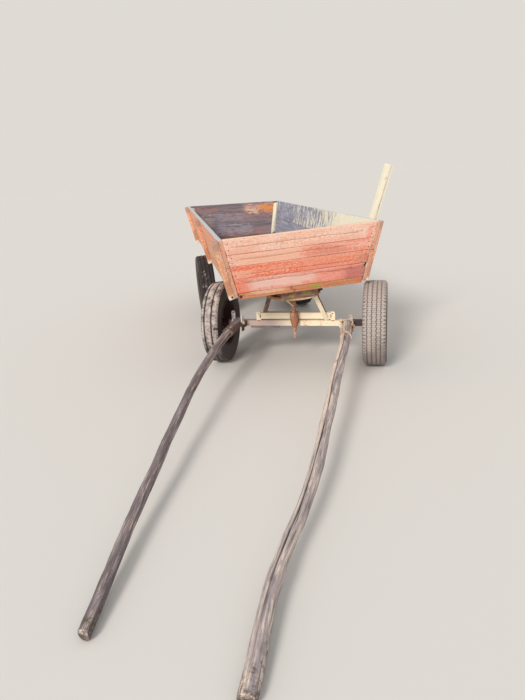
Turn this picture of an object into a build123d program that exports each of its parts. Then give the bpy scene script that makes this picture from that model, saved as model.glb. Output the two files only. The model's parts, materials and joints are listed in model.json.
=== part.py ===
"""Four-wheeled horse cart: a flared plank box on two beams, a front carriage that turns
on a kingpin under a pair of ring plates, car wheels on square axles, and two pole shafts
hinged to the front axle. Millimetres, Z up, the front towards -Y, standing as it parks,
with the front carriage turned and the tips of both shafts on the ground. The origin is on
the ground, under the middle of the whole parked cart."""

from build123d import *
from math import atan2, cos, degrees, radians, sin, tan
import os

os.makedirs("parts", exist_ok=True)

# Stance
kingpin_x = 281
kingpin_y = -71
turn_angle = -25
kingpin_lead = 52
wheelbase = 1600
front_track = 1150
rear_track = 980

# Running fits and seats
running_gap = 0.05
seat_gap = 0.3
plank_gap = 2

# Load box
box_length = 2800
box_width = 900
box_height = 392
front_overhang = 248
floor_z = 613
side_lean = 12
end_lean = 9.5
board_thickness = 25
sill_height = 33
sill_depth = 45
sill_overhang = 7
front_board_widths = (95, 85, 77)
side_board_width = 210
tail_board_width = 128
plank_thickness = 25
plank_count = 14
batten_width = 60
left_batten_thickness = 36
right_batten_thickness = 14
corner_post = 38
post_drop = 12

# Frame under the box
beam_width = 60
beam_spacing = 320
beam_front = -100
bolster_depth = 400
rear_bolster_height = 62
stand_width = 34
stand_leg = 12
ring_radius = 195
ring_width = 40
ring_thickness = 10
ring_z = 530

# Axles
bar_size = 40
axle_shoulder = 78
spindle_radius = 18
spindle_length = 112
upper_bar_z = 334
upper_bar_height = 45
upper_bar_length = 524
upper_bar_wall = 6
ear_x = 275
ear_eye_z = 372
ear_radius = 17
ear_thickness = 8
ear_hole_radius = 6
under_plate_length = 215
under_plate_thickness = 18
under_plate_x = -232
strut_width = 30
strut_thickness = 8

# Kingpin
kingpin_radius = 16
kingpin_head_radius = 30
kingpin_head_height = 12
kingpin_end_z = 256
tail_radius = 8
tail_end_z = 200
socket_radius = 30
socket_foot_radius = 20
socket_foot_z = 288
socket_waist_z = 335
socket_top_z = 394
socket_pad_z = 302
socket_pad_width = 50

# Shafts
hinge_y = -30
hinge_pin_radius = 8
butt_length = 35
butt_dressing = 5
cheek_thickness = 8
cheek_height = 40
cheek_length = 190
band_width = 28
band_wall = 5
band_gap = 2
clevis_thickness = 8
clevis_gap = 1
clevis_bar = 34
clevis_foot_z = 262
clevis_reach = 80
inner_plate_rise = 40
outer_plate_rise = 14
eye_bar_width = 28
eye_bar_thickness = 8
eye_hole_radius = 6.5
pin_head_radius = 13
pin_head_height = 10

# Wheels
tyre_radius = 300
shoulder_drop = 18
shoulder_inset = 9
crown_drop = 3
crown_inset = 22
rim_radius = 165
rim_lip = 12
rim_wall = 4
rim_width = 118
hub_radius = 34
hub_flange_radius = 68
hub_flange_thickness = 9
hub_inner = 62
hub_outer = 34
disc_wall = 5
disc_offset = 14
dish_start = 75
dish_top = 108
dish_depth = 20
slot_count = 6
slot_radius = 128
slot_length = 48
slot_width = 18

# Stake on the right-hand side
stake_width = 42
stake_depth = 46
stake_length = 690
stake_lean = 15
stake_forward_lean = 8
stake_y = -10
stake_foot_height = 90
staple_wall = 5
staple_width = 22
staple_gap = 5
staple_heights = (110, 355)

half_width = box_width / 2
floor_front = -front_overhang
floor_rear = box_length - front_overhang
beam_top = floor_z
beam_bottom = ring_z + 2 * ring_thickness + seat_gap
axle_z = tyre_radius
bar_top = axle_z + bar_size / 2
side_slant = box_height / cos(radians(side_lean))
end_slant = box_height / cos(radians(end_lean))


def on(frame, plane):
    """The plane as it lies in a frame that is placed and turned on the cart."""
    return Plane(frame.location * plane.location)


def turned(x, y, z=0):
    """A point of the front carriage, as a point of the parked cart."""
    return carriage.from_local_coords(Vector(x, y, z))


def save(part, name):
    part.label = name
    export_step(part, f"parts/{name}.step")


body = Plane(origin=(kingpin_x, kingpin_y, 0))
carriage = Plane(
    origin=(kingpin_x, kingpin_y, 0),
    x_dir=(cos(radians(turn_angle)), sin(radians(turn_angle)), 0),
    z_dir=(0, 0, 1),
)

# Each wall's plane is its outer face: along the wall, then up its slope, facing outwards.
lean = radians(side_lean)
rake = radians(end_lean)
right_wall = Plane(
    origin=(kingpin_x + half_width, kingpin_y, floor_z),
    x_dir=(0, 1, 0),
    z_dir=(cos(lean), 0, -sin(lean)),
)
left_wall = Plane(
    origin=(kingpin_x - half_width, kingpin_y, floor_z),
    x_dir=(0, -1, 0),
    z_dir=(-cos(lean), 0, -sin(lean)),
)
front_wall = Plane(
    origin=(kingpin_x, kingpin_y + floor_front, floor_z),
    x_dir=(1, 0, 0),
    z_dir=(0, -cos(rake), -sin(rake)),
)
rear_wall = Plane(
    origin=(kingpin_x, kingpin_y + floor_rear, floor_z),
    x_dir=(-1, 0, 0),
    z_dir=(0, cos(rake), -sin(rake)),
)


# Side boards: two to each side, their ends raked like the front and the tail

def board_end(height, rear):
    """How far from the kingpin a side board ends, at a height up its slope."""
    run = height * cos(lean) * tan(rake)
    return floor_rear + run if rear else floor_front - run


def make_side_board(name, wall, mirrored, bottom, top):
    with BuildPart() as board:
        with BuildSketch(wall):
            with BuildLine():
                turn = -1 if mirrored else 1
                Polyline(
                    (turn * board_end(bottom, False), bottom),
                    (turn * board_end(bottom, True), bottom),
                    (turn * board_end(top, True), top),
                    (turn * board_end(top, False), top),
                    close=True,
                )
            make_face()
        extrude(amount=-board_thickness)
        chamfer(board.edges().filter_by(Axis.Y), length=2)
    save(board.part, name)


for side, wall, mirrored in (("left", left_wall, True), ("right", right_wall, False)):
    make_side_board(f"{side}_side_lower", wall, mirrored, 0, side_board_width)
    make_side_board(f"{side}_side_upper", wall, mirrored, side_board_width + plank_gap, side_slant)

# Front and tail: boards between the side boards, above a sill

sill_drop = sill_depth * tan(rake)


def inner_half_width(height):
    """Half the way between the side boards, at a height up the slope of an end wall."""
    outer = half_width + height * cos(rake) * tan(lean)
    return outer - board_thickness / cos(lean) - seat_gap


def end_board_outline(bottom, top):
    low = inner_half_width(bottom)
    high = inner_half_width(top)
    return (-low, bottom), (low, bottom), (high, top), (-high, top)


def make_end_board(name, wall, bottom, top, depth, cut_z=floor_z):
    """A board across the cart in an end wall's plane, cut off level below."""
    with BuildPart() as board:
        with BuildSketch(wall):
            with BuildLine():
                Polyline(*end_board_outline(bottom, top), close=True)
            make_face()
        extrude(amount=-depth)
        split(bisect_by=Plane.XY.offset(cut_z), keep=Keep.TOP)
        chamfer(board.edges().filter_by(Axis.X), length=2)
    save(board.part, name)


sill_foot = -sill_drop - 2 * sill_overhang
make_end_board("front_sill", front_wall, sill_foot, sill_height, sill_depth, floor_z - sill_overhang)
bottom = sill_height + plank_gap
for number, width in enumerate(front_board_widths):
    make_end_board(f"front_board_{number + 1}", front_wall, bottom, bottom + width, board_thickness)
    bottom += width + plank_gap
make_end_board("front_board_4", front_wall, bottom, end_slant, board_thickness)

make_end_board("tail_sill", rear_wall, -sill_drop, sill_height, sill_depth)
with BuildPart() as tail_boards:
    bottom = sill_height + plank_gap
    for top in (bottom + tail_board_width, bottom + 2 * tail_board_width + plank_gap, end_slant):
        with BuildSketch(rear_wall):
            with BuildLine():
                Polyline(*end_board_outline(bottom, top), close=True)
            make_face()
        extrude(amount=-board_thickness)
        bottom = top + plank_gap
    chamfer(tail_boards.edges().filter_by(Axis.X), length=2)
save(tail_boards.part, "tail_boards")

# Floor planks lie across the beams, between the sills, their ends bevelled to the side boards

sill_back = sill_depth / cos(rake) + plank_gap
floor_length = box_length - 2 * sill_back
floor_middle = (floor_front + floor_rear) / 2
plank_pitch = (floor_length + plank_gap) / plank_count
plank_half = half_width - board_thickness / cos(lean) - seat_gap
bevel = plank_thickness * tan(lean)
with BuildPart() as floor_planks:
    for number in range(plank_count):
        start = floor_front + sill_back + number * plank_pitch
        with BuildSketch(on(body, Plane.XZ.offset(-start))):
            with BuildLine():
                Polyline(
                    (-plank_half, floor_z),
                    (plank_half, floor_z),
                    (plank_half + bevel, floor_z + plank_thickness),
                    (-plank_half - bevel, floor_z + plank_thickness),
                    close=True,
                )
            make_face()
        extrude(amount=-(plank_pitch - plank_gap))
save(floor_planks.part, "floor_planks")

# Battens stand up the outside of each side, at its ends and its middle

def make_battens(name, wall, mirrored, thickness):
    turn = -1 if mirrored else 1
    run = side_slant * cos(lean) * tan(rake)
    with BuildPart() as battens:
        with BuildSketch(wall):
            for foot, head in (
                (floor_front, floor_front - run),
                (floor_middle - batten_width / 2, floor_middle - batten_width / 2),
                (floor_rear - batten_width, floor_rear - batten_width + run),
            ):
                with BuildLine():
                    Polyline(
                        (turn * foot, 0),
                        (turn * (foot + batten_width), 0),
                        (turn * (head + batten_width), side_slant),
                        (turn * head, side_slant),
                        close=True,
                    )
                make_face()
        extrude(amount=thickness)
    save(battens.part, name)


make_battens("left_battens", left_wall, True, left_batten_thickness)
make_battens("right_battens", right_wall, False, right_batten_thickness)

# Corner posts stand inside the four corners, on the floor

def make_corner_posts(name, rear):
    """Two square posts, each in the corner where a side wall and an end wall meet."""
    foot = sill_height * cos(rake) + sill_depth * sin(rake) + plank_gap
    with BuildPart() as posts:
        for x_side in (-1, 1):
            for height in (foot, box_height - post_drop):
                x_in = half_width + height * tan(lean) - board_thickness / cos(lean) - seat_gap
                run = height * tan(rake) - board_thickness / cos(rake) - seat_gap
                y_in = floor_rear + run if rear else floor_front - run
                y_step = -corner_post / 2 if rear else corner_post / 2
                with BuildSketch(on(body, Plane.XY.offset(floor_z + height))):
                    with Locations((x_side * (x_in - corner_post / 2), y_in + y_step)):
                        Rectangle(corner_post, corner_post)
            loft(ruled=True)
    save(posts.part, name)


make_corner_posts("front_posts", False)
make_corner_posts("rear_posts", True)

# Beams and bolsters carry the floor

beam_height = beam_top - beam_bottom
front_bolster_width = beam_spacing - beam_width
with BuildPart() as beams:
    with BuildSketch(on(body, Plane.XY.offset(beam_bottom))):
        with Locations((0, (beam_front + floor_rear) / 2)):
            with GridLocations(beam_spacing, 1, 2, 1):
                Rectangle(beam_width, floor_rear - beam_front)
    extrude(amount=beam_height)
    chamfer(beams.edges().filter_by(Axis.Y), length=4)
save(beams.part, "beams")

with BuildPart() as front_bolster:
    with BuildSketch(on(body, Plane.XY.offset(beam_bottom))):
        Rectangle(front_bolster_width, bolster_depth)
    extrude(amount=beam_height)
    with Locations(on(body, Plane.XY.offset(beam_top))):
        CounterBoreHole(
            radius=kingpin_radius + running_gap,
            counter_bore_radius=kingpin_head_radius + running_gap,
            counter_bore_depth=kingpin_head_height + seat_gap,
        )
save(front_bolster.part, "front_bolster")

rear_bolster_width = beam_spacing + 2 * beam_width
with BuildPart() as rear_bolster:
    with BuildSketch(on(body, Plane.XY.offset(beam_bottom - rear_bolster_height))):
        with Locations((0, wheelbase + kingpin_lead)):
            Rectangle(rear_bolster_width, beam_width)
    extrude(amount=rear_bolster_height)
    chamfer(rear_bolster.edges().filter_by(Axis.X), length=4)
save(rear_bolster.part, "rear_bolster")

# The two ring plates: the upper one under the beams, the lower one on the carriage

def make_ring(name, frame, bottom):
    with BuildPart() as ring:
        with BuildSketch(on(frame, Plane.XY.offset(bottom))):
            Circle(ring_radius)
            Circle(ring_radius - ring_width, mode=Mode.SUBTRACT)
        extrude(amount=ring_thickness)
    save(ring.part, name)


make_ring("upper_ring", body, beam_bottom - ring_thickness)
make_ring("lower_ring", carriage, ring_z)

# The kingpin hangs by its head in the bolster and ends below in a threaded tail

with BuildPart() as kingpin:
    with BuildSketch(on(body, Plane.XY.offset(beam_top - kingpin_head_height))):
        Circle(kingpin_head_radius)
    extrude(amount=kingpin_head_height)
    with BuildSketch(on(body, Plane.XY.offset(kingpin_end_z))):
        Circle(kingpin_radius)
    extrude(amount=beam_top - kingpin_head_height - kingpin_end_z)
    with BuildSketch(on(body, Plane.XY.offset(tail_end_z))):
        Circle(tail_radius)
    extrude(amount=kingpin_end_z - tail_end_z)
save(kingpin.part, "kingpin")

# The socket that the kingpin turns in is welded to the front of both bars

bar_front = kingpin_lead - bar_size / 2
with BuildPart() as kingpin_socket:
    with BuildSketch(on(carriage, Plane.XY.offset(socket_waist_z))):
        Circle(socket_radius)
    extrude(amount=socket_top_z - socket_waist_z)
    with BuildSketch(on(carriage, Plane.XY.offset(socket_foot_z))):
        Circle(socket_foot_radius)
    with BuildSketch(on(carriage, Plane.XY.offset(socket_waist_z))):
        Circle(socket_radius)
    loft()
    with BuildSketch(on(carriage, Plane.XY.offset(socket_pad_z))):
        with Locations((0, bar_front / 2)):
            Rectangle(socket_pad_width, bar_front)
    extrude(amount=socket_top_z - socket_pad_z)
    with Locations(on(carriage, Plane.XY.offset(socket_top_z))):
        Hole(radius=kingpin_radius + running_gap)
save(kingpin_socket.part, "kingpin_socket")

# Axles: a square bar turned down to a spindle at each end

def make_axle(name, frame, y, track):
    axle_end = track / 2 - axle_shoulder
    with BuildPart() as axle:
        with BuildSketch(on(frame, Plane.YZ.offset(-axle_end))):
            with Locations((y, axle_z)):
                Rectangle(bar_size, bar_size)
        extrude(amount=2 * axle_end)
        with BuildSketch(on(frame, Plane.YZ.offset(-axle_end - spindle_length))):
            with Locations((y, axle_z)):
                Circle(spindle_radius)
        extrude(amount=2 * (axle_end + spindle_length))
    save(axle.part, name)


rear_axle_y = wheelbase + kingpin_lead
make_axle("front_axle", carriage, kingpin_lead, front_track)
make_axle("rear_axle", body, rear_axle_y, rear_track)

# The upper bar: a channel open to the rear, with an ear that faces forward at each end

with BuildPart() as upper_bar:
    with BuildSketch(on(carriage, Plane.YZ.offset(-upper_bar_length / 2))):
        with Locations((kingpin_lead, upper_bar_z + upper_bar_height / 2)):
            Rectangle(bar_size, upper_bar_height)
        with Locations((kingpin_lead + upper_bar_wall, upper_bar_z + upper_bar_height / 2)):
            Rectangle(bar_size, upper_bar_height - 2 * upper_bar_wall, mode=Mode.SUBTRACT)
    extrude(amount=upper_bar_length)
    with BuildSketch(on(carriage, Plane.XZ.offset(-bar_front))):
        for x_side in (-1, 1):
            with Locations((x_side * ear_x, (bar_top + ear_eye_z) / 2)):
                Rectangle(2 * ear_radius, ear_eye_z - bar_top)
            with Locations((x_side * ear_x, ear_eye_z)):
                Circle(ear_radius)
                Circle(ear_hole_radius, mode=Mode.SUBTRACT)
    extrude(amount=-ear_thickness)
save(upper_bar.part, "upper_bar")

# A spacer strip under the left half of the front axle

with BuildPart() as under_plate:
    with BuildSketch(on(carriage, Plane.XY.offset(axle_z - bar_size / 2 - under_plate_thickness))):
        with Locations((under_plate_x, kingpin_lead)):
            Rectangle(under_plate_length, bar_size)
    extrude(amount=under_plate_thickness)
save(under_plate.part, "under_plate")

# Struts: flat bars from the underside of the lower ring down to the bars

def make_strut(name, head, foot, seat):
    """A flat bar between two points, cut off level under the ring and flush at its seat."""
    head = turned(*head)
    foot = turned(*foot)
    along = (head - foot).normalized()
    across = carriage.y_dir.cross(along).normalized()
    with BuildPart() as strut:
        with BuildSketch(Plane(origin=foot - along * 60, x_dir=across, z_dir=along)):
            Rectangle(strut_width, strut_thickness)
        extrude(amount=(head - foot).length + 120)
        split(bisect_by=Plane.XY.offset(ring_z), keep=Keep.BOTTOM)
        split(bisect_by=seat, keep=Keep.TOP)
    save(strut.part, name)


bar_face = upper_bar_z + upper_bar_height
bar_seat = on(carriage, Plane.XY.offset(bar_face))
front_seat = on(carriage, Plane.XZ.offset(-bar_front))
ring_run = ring_radius - ring_width / 2


def under_ring(x, y_side):
    """The point under the middle of the lower ring's band, at a place across the carriage."""
    return x, y_side * (ring_run**2 - x**2) ** 0.5, ring_z


# Name, head x and which side of the ring, foot x, y and height, and what the foot stands on
struts = (
    ("front_left", -155, -1, -226, kingpin_lead - 10, bar_face, bar_seat),
    ("front_right", 165, -1, 230, bar_front, 330, front_seat),
    ("rear_left", -165, 1, -245, kingpin_lead + 10, bar_face, bar_seat),
    ("rear_right", 130, 1, 210, kingpin_lead, bar_face, bar_seat),
)
for name, head_x, y_side, foot_x, foot_y, foot_height, seat in struts:
    make_strut(f"{name}_strut", under_ring(head_x, y_side), (foot_x, foot_y, foot_height), seat)

# Rear stands: a trestle of flat bars between the rear bolster's ends and the axle

stand_top = beam_bottom - rear_bolster_height
stand_x = rear_bolster_width / 2 - stand_width
with BuildPart() as rear_stands:
    for x_side in (-1, 1):
        with BuildSketch(on(body, Plane.YZ.offset(x_side * stand_x - stand_width / 2))):
            for y_side in (-1, 1):
                foot = rear_axle_y + y_side * bar_size / 2
                head = rear_axle_y + y_side * beam_width / 2
                with BuildLine():
                    Polyline(
                        (foot, bar_top),
                        (foot - y_side * stand_leg, bar_top),
                        (head - y_side * stand_leg, stand_top),
                        (head, stand_top),
                        close=True,
                    )
                make_face()
        extrude(amount=stand_width)
save(rear_stands.part, "rear_stands")

# Shafts: natural poles, tapering to their tips, each hinged on a pin in a clevis

def shaft_frame(hinge_x, swing):
    """On the ground under a shaft's hinge, its front along the shaft's own way out."""
    way = radians(turn_angle + swing)
    return Plane(origin=turned(hinge_x, hinge_y), x_dir=(cos(way), sin(way), 0), z_dir=(0, 0, 1))


def make_clevis(side, x_side, frame, hinge_z, cheek_face, eye_x, eye_z):
    """Two plates that hold the pin, and behind them a bar with an eye, all on the axle's front."""
    inner_face = cheek_face + cheek_thickness + clevis_gap
    with BuildPart() as clevis:
        for toward, rise in ((x_side, outer_plate_rise), (-x_side, inner_plate_rise)):
            near = toward * inner_face
            start = near if toward > 0 else near - clevis_thickness
            top = hinge_z + rise
            with BuildSketch(on(frame, Plane.YZ.offset(start))):
                with Locations((0, (clevis_foot_z + top) / 2)):
                    Rectangle(clevis_bar, top - clevis_foot_z)
                with Locations((0, top)):
                    Circle(clevis_bar / 2)
                with Locations((clevis_reach / 2, axle_z)):
                    Rectangle(clevis_reach, bar_size)
                with Locations((0, hinge_z)):
                    Circle(hinge_pin_radius + running_gap, mode=Mode.SUBTRACT)
            extrude(amount=clevis_thickness)
        split(bisect_by=front_seat, keep=Keep.TOP)
        with BuildSketch(front_seat):
            foot_z = bar_top - bar_size
            with Locations((eye_x, (foot_z + eye_z) / 2)):
                Rectangle(eye_bar_width, eye_z - foot_z)
            with Locations((eye_x, eye_z)):
                Circle(eye_bar_width / 2)
                Circle(eye_hole_radius, mode=Mode.SUBTRACT)
        extrude(amount=eye_bar_thickness)
    save(clevis.part, f"{side}_shaft_clevis")


def make_shaft(side, frame, hinge_z, stations, slope):
    """A pole lofted through round sections, its butt dressed flat between iron cheeks."""
    butt_radius = stations[0][3]
    flat = butt_radius - butt_dressing
    with BuildPart() as pole:
        for reach, x, z, radius in stations:
            with BuildSketch(on(frame, Plane.XZ.offset(reach))):
                with Locations((x, z)):
                    Circle(radius)
        loft()
        for start in (flat, -flat - butt_radius):
            with BuildSketch(on(frame, Plane.YZ.offset(start))):
                with Locations((0, hinge_z)):
                    Rectangle(2 * (cheek_length + plank_gap), 6 * butt_radius)
            extrude(amount=butt_radius, mode=Mode.SUBTRACT)
        with BuildSketch(on(frame, Plane.YZ.offset(-2 * butt_radius))):
            with Locations((0, hinge_z)):
                Circle(hinge_pin_radius + running_gap)
        extrude(amount=4 * butt_radius, mode=Mode.SUBTRACT)
    save(pole.part, f"{side}_shaft")

    hinge = on(frame, Plane(origin=(0, 0, hinge_z), x_dir=(0, 1, 0), z_dir=(1, 0, 0)))
    reach, band_x, band_z, radius = stations[1]
    face = flat + seat_gap
    with BuildPart() as iron:
        with BuildSketch(on(frame, Plane.XZ.offset(reach - band_width / 2))):
            with Locations((band_x, band_z)):
                Circle(radius + band_gap + band_wall)
                Circle(radius + band_gap, mode=Mode.SUBTRACT)
        extrude(amount=band_width)
        for start in (face, -face - cheek_thickness):
            with BuildSketch(Plane(hinge.location * Location((0, 0, start)))):
                Circle(cheek_height / 2)
                with Locations(Location((0, 0), degrees(atan2(slope, 1)))):
                    with Locations((-cheek_length / 2, 0)):
                        Rectangle(cheek_length, cheek_height)
                Circle(hinge_pin_radius + running_gap, mode=Mode.SUBTRACT)
            extrude(amount=cheek_thickness)
    save(iron.part, f"{side}_shaft_iron")


def pole_stations(plan, hinge_z, butt_radius, tip_radius):
    """Round sections along a pole from its plan line, falling evenly to the ground."""
    first = plan[0][0]
    last = plan[-1][0]
    stations = []
    for reach, x in plan:
        z = hinge_z + reach / last * (tip_radius - hinge_z)
        part = (reach - first) / (last - first)
        stations.append((reach, x, z, butt_radius + part * (tip_radius - butt_radius)))
    return stations


# Reach ahead of the hinge and x beside it, from the butt to the tip
band_reach = cheek_length - band_width / 2
left_plan = (
    (-butt_length, 0), (band_reach, 4), (580, 56), (1040, 159), (1670, 337), (2373, 558)
)
right_plan = (
    (-butt_length, 0), (band_reach, 2), (763, -27), (1370, -53), (1860, -99), (2230, -149), (2537, -152)
)
# Side, which way is out, hinge x and z, swing, plan, butt and tip radius, eye x and z
shafts = (
    ("left", -1, -420, 322, -9.4, left_plan, 29, 25, -469, 383),
    ("right", 1, 381, 300, 2, right_plan, 32, 29, 404, 353),
)
with BuildPart() as shaft_pins:
    for side, x_side, hinge_x, hinge_z, swing, plan, butt_radius, tip_radius, eye_x, eye_z in shafts:
        frame = shaft_frame(hinge_x, swing)
        cheek_face = butt_radius - butt_dressing + seat_gap
        reach = cheek_face + cheek_thickness + clevis_gap + clevis_thickness + seat_gap
        with BuildSketch(on(frame, Plane.YZ.offset(-reach - pin_head_height))):
            with Locations((0, hinge_z)):
                Circle(hinge_pin_radius)
        extrude(amount=2 * (reach + pin_head_height))
        for start in (-reach - pin_head_height, reach):
            with BuildSketch(on(frame, Plane.YZ.offset(start))):
                with Locations((0, hinge_z)):
                    RegularPolygon(pin_head_radius, 6)
            extrude(amount=pin_head_height)
save(shaft_pins.part, "shaft_pins")
for side, x_side, hinge_x, hinge_z, swing, plan, butt_radius, tip_radius, eye_x, eye_z in shafts:
    frame = shaft_frame(hinge_x, swing)
    make_clevis(side, x_side, frame, hinge_z, butt_radius - butt_dressing + seat_gap, eye_x, eye_z)
    slope = (hinge_z - tip_radius) / plan[-1][0]
    make_shaft(side, frame, hinge_z, pole_stations(plan, hinge_z, butt_radius, tip_radius), slope)

# Wheels: tyre, pressed rim and hub, each turned about the spindle

def make_wheel(name, frame, x_side, track, y, tyre_width):
    centre = frame.from_local_coords(Vector(x_side * track / 2, y, axle_z))
    outward = frame.x_dir * x_side
    section = Plane(origin=centre, x_dir=(0, 0, 1), z_dir=Vector(0, 0, 1).cross(outward))
    spin = Axis(centre, outward)
    half = tyre_width / 2
    bead = rim_radius + seat_gap
    bead_half = rim_width / 2 - rim_wall - seat_gap
    flange_top = rim_radius + rim_lip + seat_gap
    shoulder = tyre_radius - shoulder_drop
    crown_edge = tyre_radius - crown_drop
    with BuildPart() as tyre:
        with BuildSketch(section):
            with BuildLine():
                Polyline((flange_top, -bead_half), (bead, -bead_half), (bead, bead_half), (flange_top, bead_half))
                ThreePointArc(
                    (flange_top, bead_half),
                    ((bead + tyre_radius) / 2, half),
                    (shoulder, half - shoulder_inset),
                )
                Line((shoulder, half - shoulder_inset), (crown_edge, half - crown_inset))
                ThreePointArc(
                    (crown_edge, half - crown_inset), (tyre_radius, 0), (crown_edge, crown_inset - half)
                )
                Line((crown_edge, crown_inset - half), (shoulder, shoulder_inset - half))
                ThreePointArc(
                    (shoulder, shoulder_inset - half),
                    ((bead + tyre_radius) / 2, -half),
                    (flange_top, -bead_half),
                )
            make_face()
        revolve(axis=spin)
    save(tyre.part, f"{name}_tyre")

    with BuildPart() as rim:
        with BuildSketch(section):
            with BuildLine():
                Polyline(
                    (rim_radius, -rim_width / 2 + rim_wall),
                    (rim_radius, rim_width / 2 - rim_wall),
                    (rim_radius + rim_lip, rim_width / 2 - rim_wall),
                    (rim_radius + rim_lip, rim_width / 2),
                    (rim_radius - rim_wall, rim_width / 2),
                    (rim_radius - rim_wall, disc_offset + dish_depth),
                    (dish_top, disc_offset + dish_depth),
                    (dish_start, disc_offset),
                    (hub_radius + seat_gap, disc_offset),
                    (hub_radius + seat_gap, disc_offset - disc_wall),
                    (dish_start + disc_wall / 2, disc_offset - disc_wall),
                    (dish_top + disc_wall / 2, disc_offset + dish_depth - disc_wall),
                    (rim_radius - rim_wall, disc_offset + dish_depth - disc_wall),
                    (rim_radius - rim_wall, -rim_width / 2),
                    (rim_radius + rim_lip, -rim_width / 2),
                    (rim_radius + rim_lip, -rim_width / 2 + rim_wall),
                    close=True,
                )
            make_face()
        revolve(axis=spin)
        with BuildSketch(Plane(origin=centre, x_dir=(0, 0, 1), z_dir=outward)):
            with PolarLocations(slot_radius, slot_count):
                Rectangle(slot_width, slot_length)
        extrude(amount=rim_width, mode=Mode.SUBTRACT)
    save(rim.part, f"{name}_rim")

    seat = disc_offset - disc_wall
    with BuildPart() as hub:
        with BuildSketch(section):
            with BuildLine():
                Polyline(
                    (spindle_radius + running_gap, -hub_inner),
                    (hub_radius, -hub_inner),
                    (hub_radius, seat - hub_flange_thickness),
                    (hub_flange_radius, seat - hub_flange_thickness),
                    (hub_flange_radius, seat),
                    (hub_radius, seat),
                    (hub_radius, hub_outer),
                    (spindle_radius + running_gap, hub_outer),
                    close=True,
                )
            make_face()
        revolve(axis=spin)
    save(hub.part, f"{name}_hub")


wheels = (
    ("front_left", carriage, -1, front_track, kingpin_lead, 142),
    ("front_right", carriage, 1, front_track, kingpin_lead, 172),
    ("rear_left", body, -1, rear_track, rear_axle_y, 160),
    ("rear_right", body, 1, rear_track, rear_axle_y, 160),
)
for name, frame, x_side, track, y, tyre_width in wheels:
    make_wheel(name, frame, x_side, track, y, tyre_width)

# The stake leans outwards on the right-hand side, in two staples

stake_foot = right_wall.from_local_coords(Vector(stake_y, stake_foot_height, 0))
out = radians(stake_lean)
ahead = radians(stake_forward_lean)
stake_along = Vector(tan(out), -tan(ahead), 1).normalized()
stake_out = Vector(0, 1, 0).cross(stake_along).normalized()
with BuildPart() as stake:
    with BuildSketch(Plane(origin=stake_foot, x_dir=stake_out, z_dir=stake_along)):
        with Locations((stake_depth / 2 + seat_gap, 0)):
            Rectangle(stake_depth, stake_width)
    extrude(amount=stake_length)
    chamfer(stake.edges().sort_by(SortBy.LENGTH)[-4:], length=3)
save(stake.part, "stake")


def stake_at(height):
    """Where the stake passes a height up the wall: along the wall, and out to its outer face."""
    rise = (height - stake_foot_height) / stake_along.dot(right_wall.y_dir)
    out_there = rise * stake_along.dot(right_wall.z_dir)
    return stake_y + rise * stake_along.dot(right_wall.x_dir), out_there + stake_depth


with BuildPart() as stake_staples:
    for height in staple_heights:
        along, reach = stake_at(height)
        origin = right_wall.from_local_coords(Vector(along, height, 0))
        level = Plane(origin=origin, x_dir=right_wall.x_dir, z_dir=right_wall.y_dir)
        room = stake_width + 2 * staple_gap
        depth = reach + staple_gap
        with BuildSketch(level):
            with Locations((0, -(depth + staple_wall) / 2)):
                Rectangle(room + 2 * staple_wall, depth + staple_wall)
            with Locations((0, -depth / 2)):
                Rectangle(room, depth, mode=Mode.SUBTRACT)
        extrude(amount=staple_width)
save(stake_staples.part, "stake_staples")
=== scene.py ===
"""Dresses the horse cart: weathered painted boards, natural poles, worn tyres and old ironwork."""

import json
import math

import bmesh
import bpy
import numpy as np
from mathutils import Matrix, Vector


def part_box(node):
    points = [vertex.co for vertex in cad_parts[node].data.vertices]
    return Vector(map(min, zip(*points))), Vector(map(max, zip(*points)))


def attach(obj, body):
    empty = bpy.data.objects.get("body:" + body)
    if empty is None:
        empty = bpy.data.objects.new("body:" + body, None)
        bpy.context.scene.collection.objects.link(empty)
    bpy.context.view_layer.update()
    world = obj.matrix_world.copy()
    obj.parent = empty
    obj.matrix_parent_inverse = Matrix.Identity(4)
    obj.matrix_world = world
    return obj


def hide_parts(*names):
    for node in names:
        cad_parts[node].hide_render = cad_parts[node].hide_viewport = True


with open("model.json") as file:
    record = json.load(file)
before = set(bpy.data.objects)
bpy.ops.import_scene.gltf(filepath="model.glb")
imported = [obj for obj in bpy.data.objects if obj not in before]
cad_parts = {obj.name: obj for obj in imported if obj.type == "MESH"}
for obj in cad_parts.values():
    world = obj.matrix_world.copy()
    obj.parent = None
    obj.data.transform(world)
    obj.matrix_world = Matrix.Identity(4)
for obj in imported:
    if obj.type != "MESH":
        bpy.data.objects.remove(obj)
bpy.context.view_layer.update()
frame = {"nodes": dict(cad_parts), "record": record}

bl_info = {
    "name": "Horse cart",
    "version": (1, 0, 0),
    "blender": (4, 5, 0),
    "location": "View3D > Sidebar > Cart",
    "description": "Builds the boards, poles, tyres, ironwork and stage of a horse cart",
    "category": "Object",
}

NODES = frame["nodes"]
BODY_OF = {
    node: body
    for body, nodes in frame["record"]["behaviour"]["bodies"].items() for node in nodes
}
SLOT_OF = {row["node"]: row["material_slot"] for row in frame["record"]["subparts"]}


# Sizes and colours that a user may change

def length(name, text, default):
    return bpy.props.FloatProperty(
        name=name, description=text, default=default, unit="LENGTH", precision=4,
    )


def share(name, text, default):
    return bpy.props.FloatProperty(
        name=name, description=text, default=default, min=0.0, max=1.0, subtype="FACTOR",
    )


def angle(name, text, degrees):
    return bpy.props.FloatProperty(
        name=name, description=text, default=math.radians(degrees), subtype="ANGLE",
    )


def colour(name, text, red, green, blue):
    return bpy.props.FloatVectorProperty(
        name=name, description=text, default=(red / 255, green / 255, blue / 255),
        min=0.0, max=1.0, size=3, subtype="COLOR_GAMMA",
    )


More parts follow.
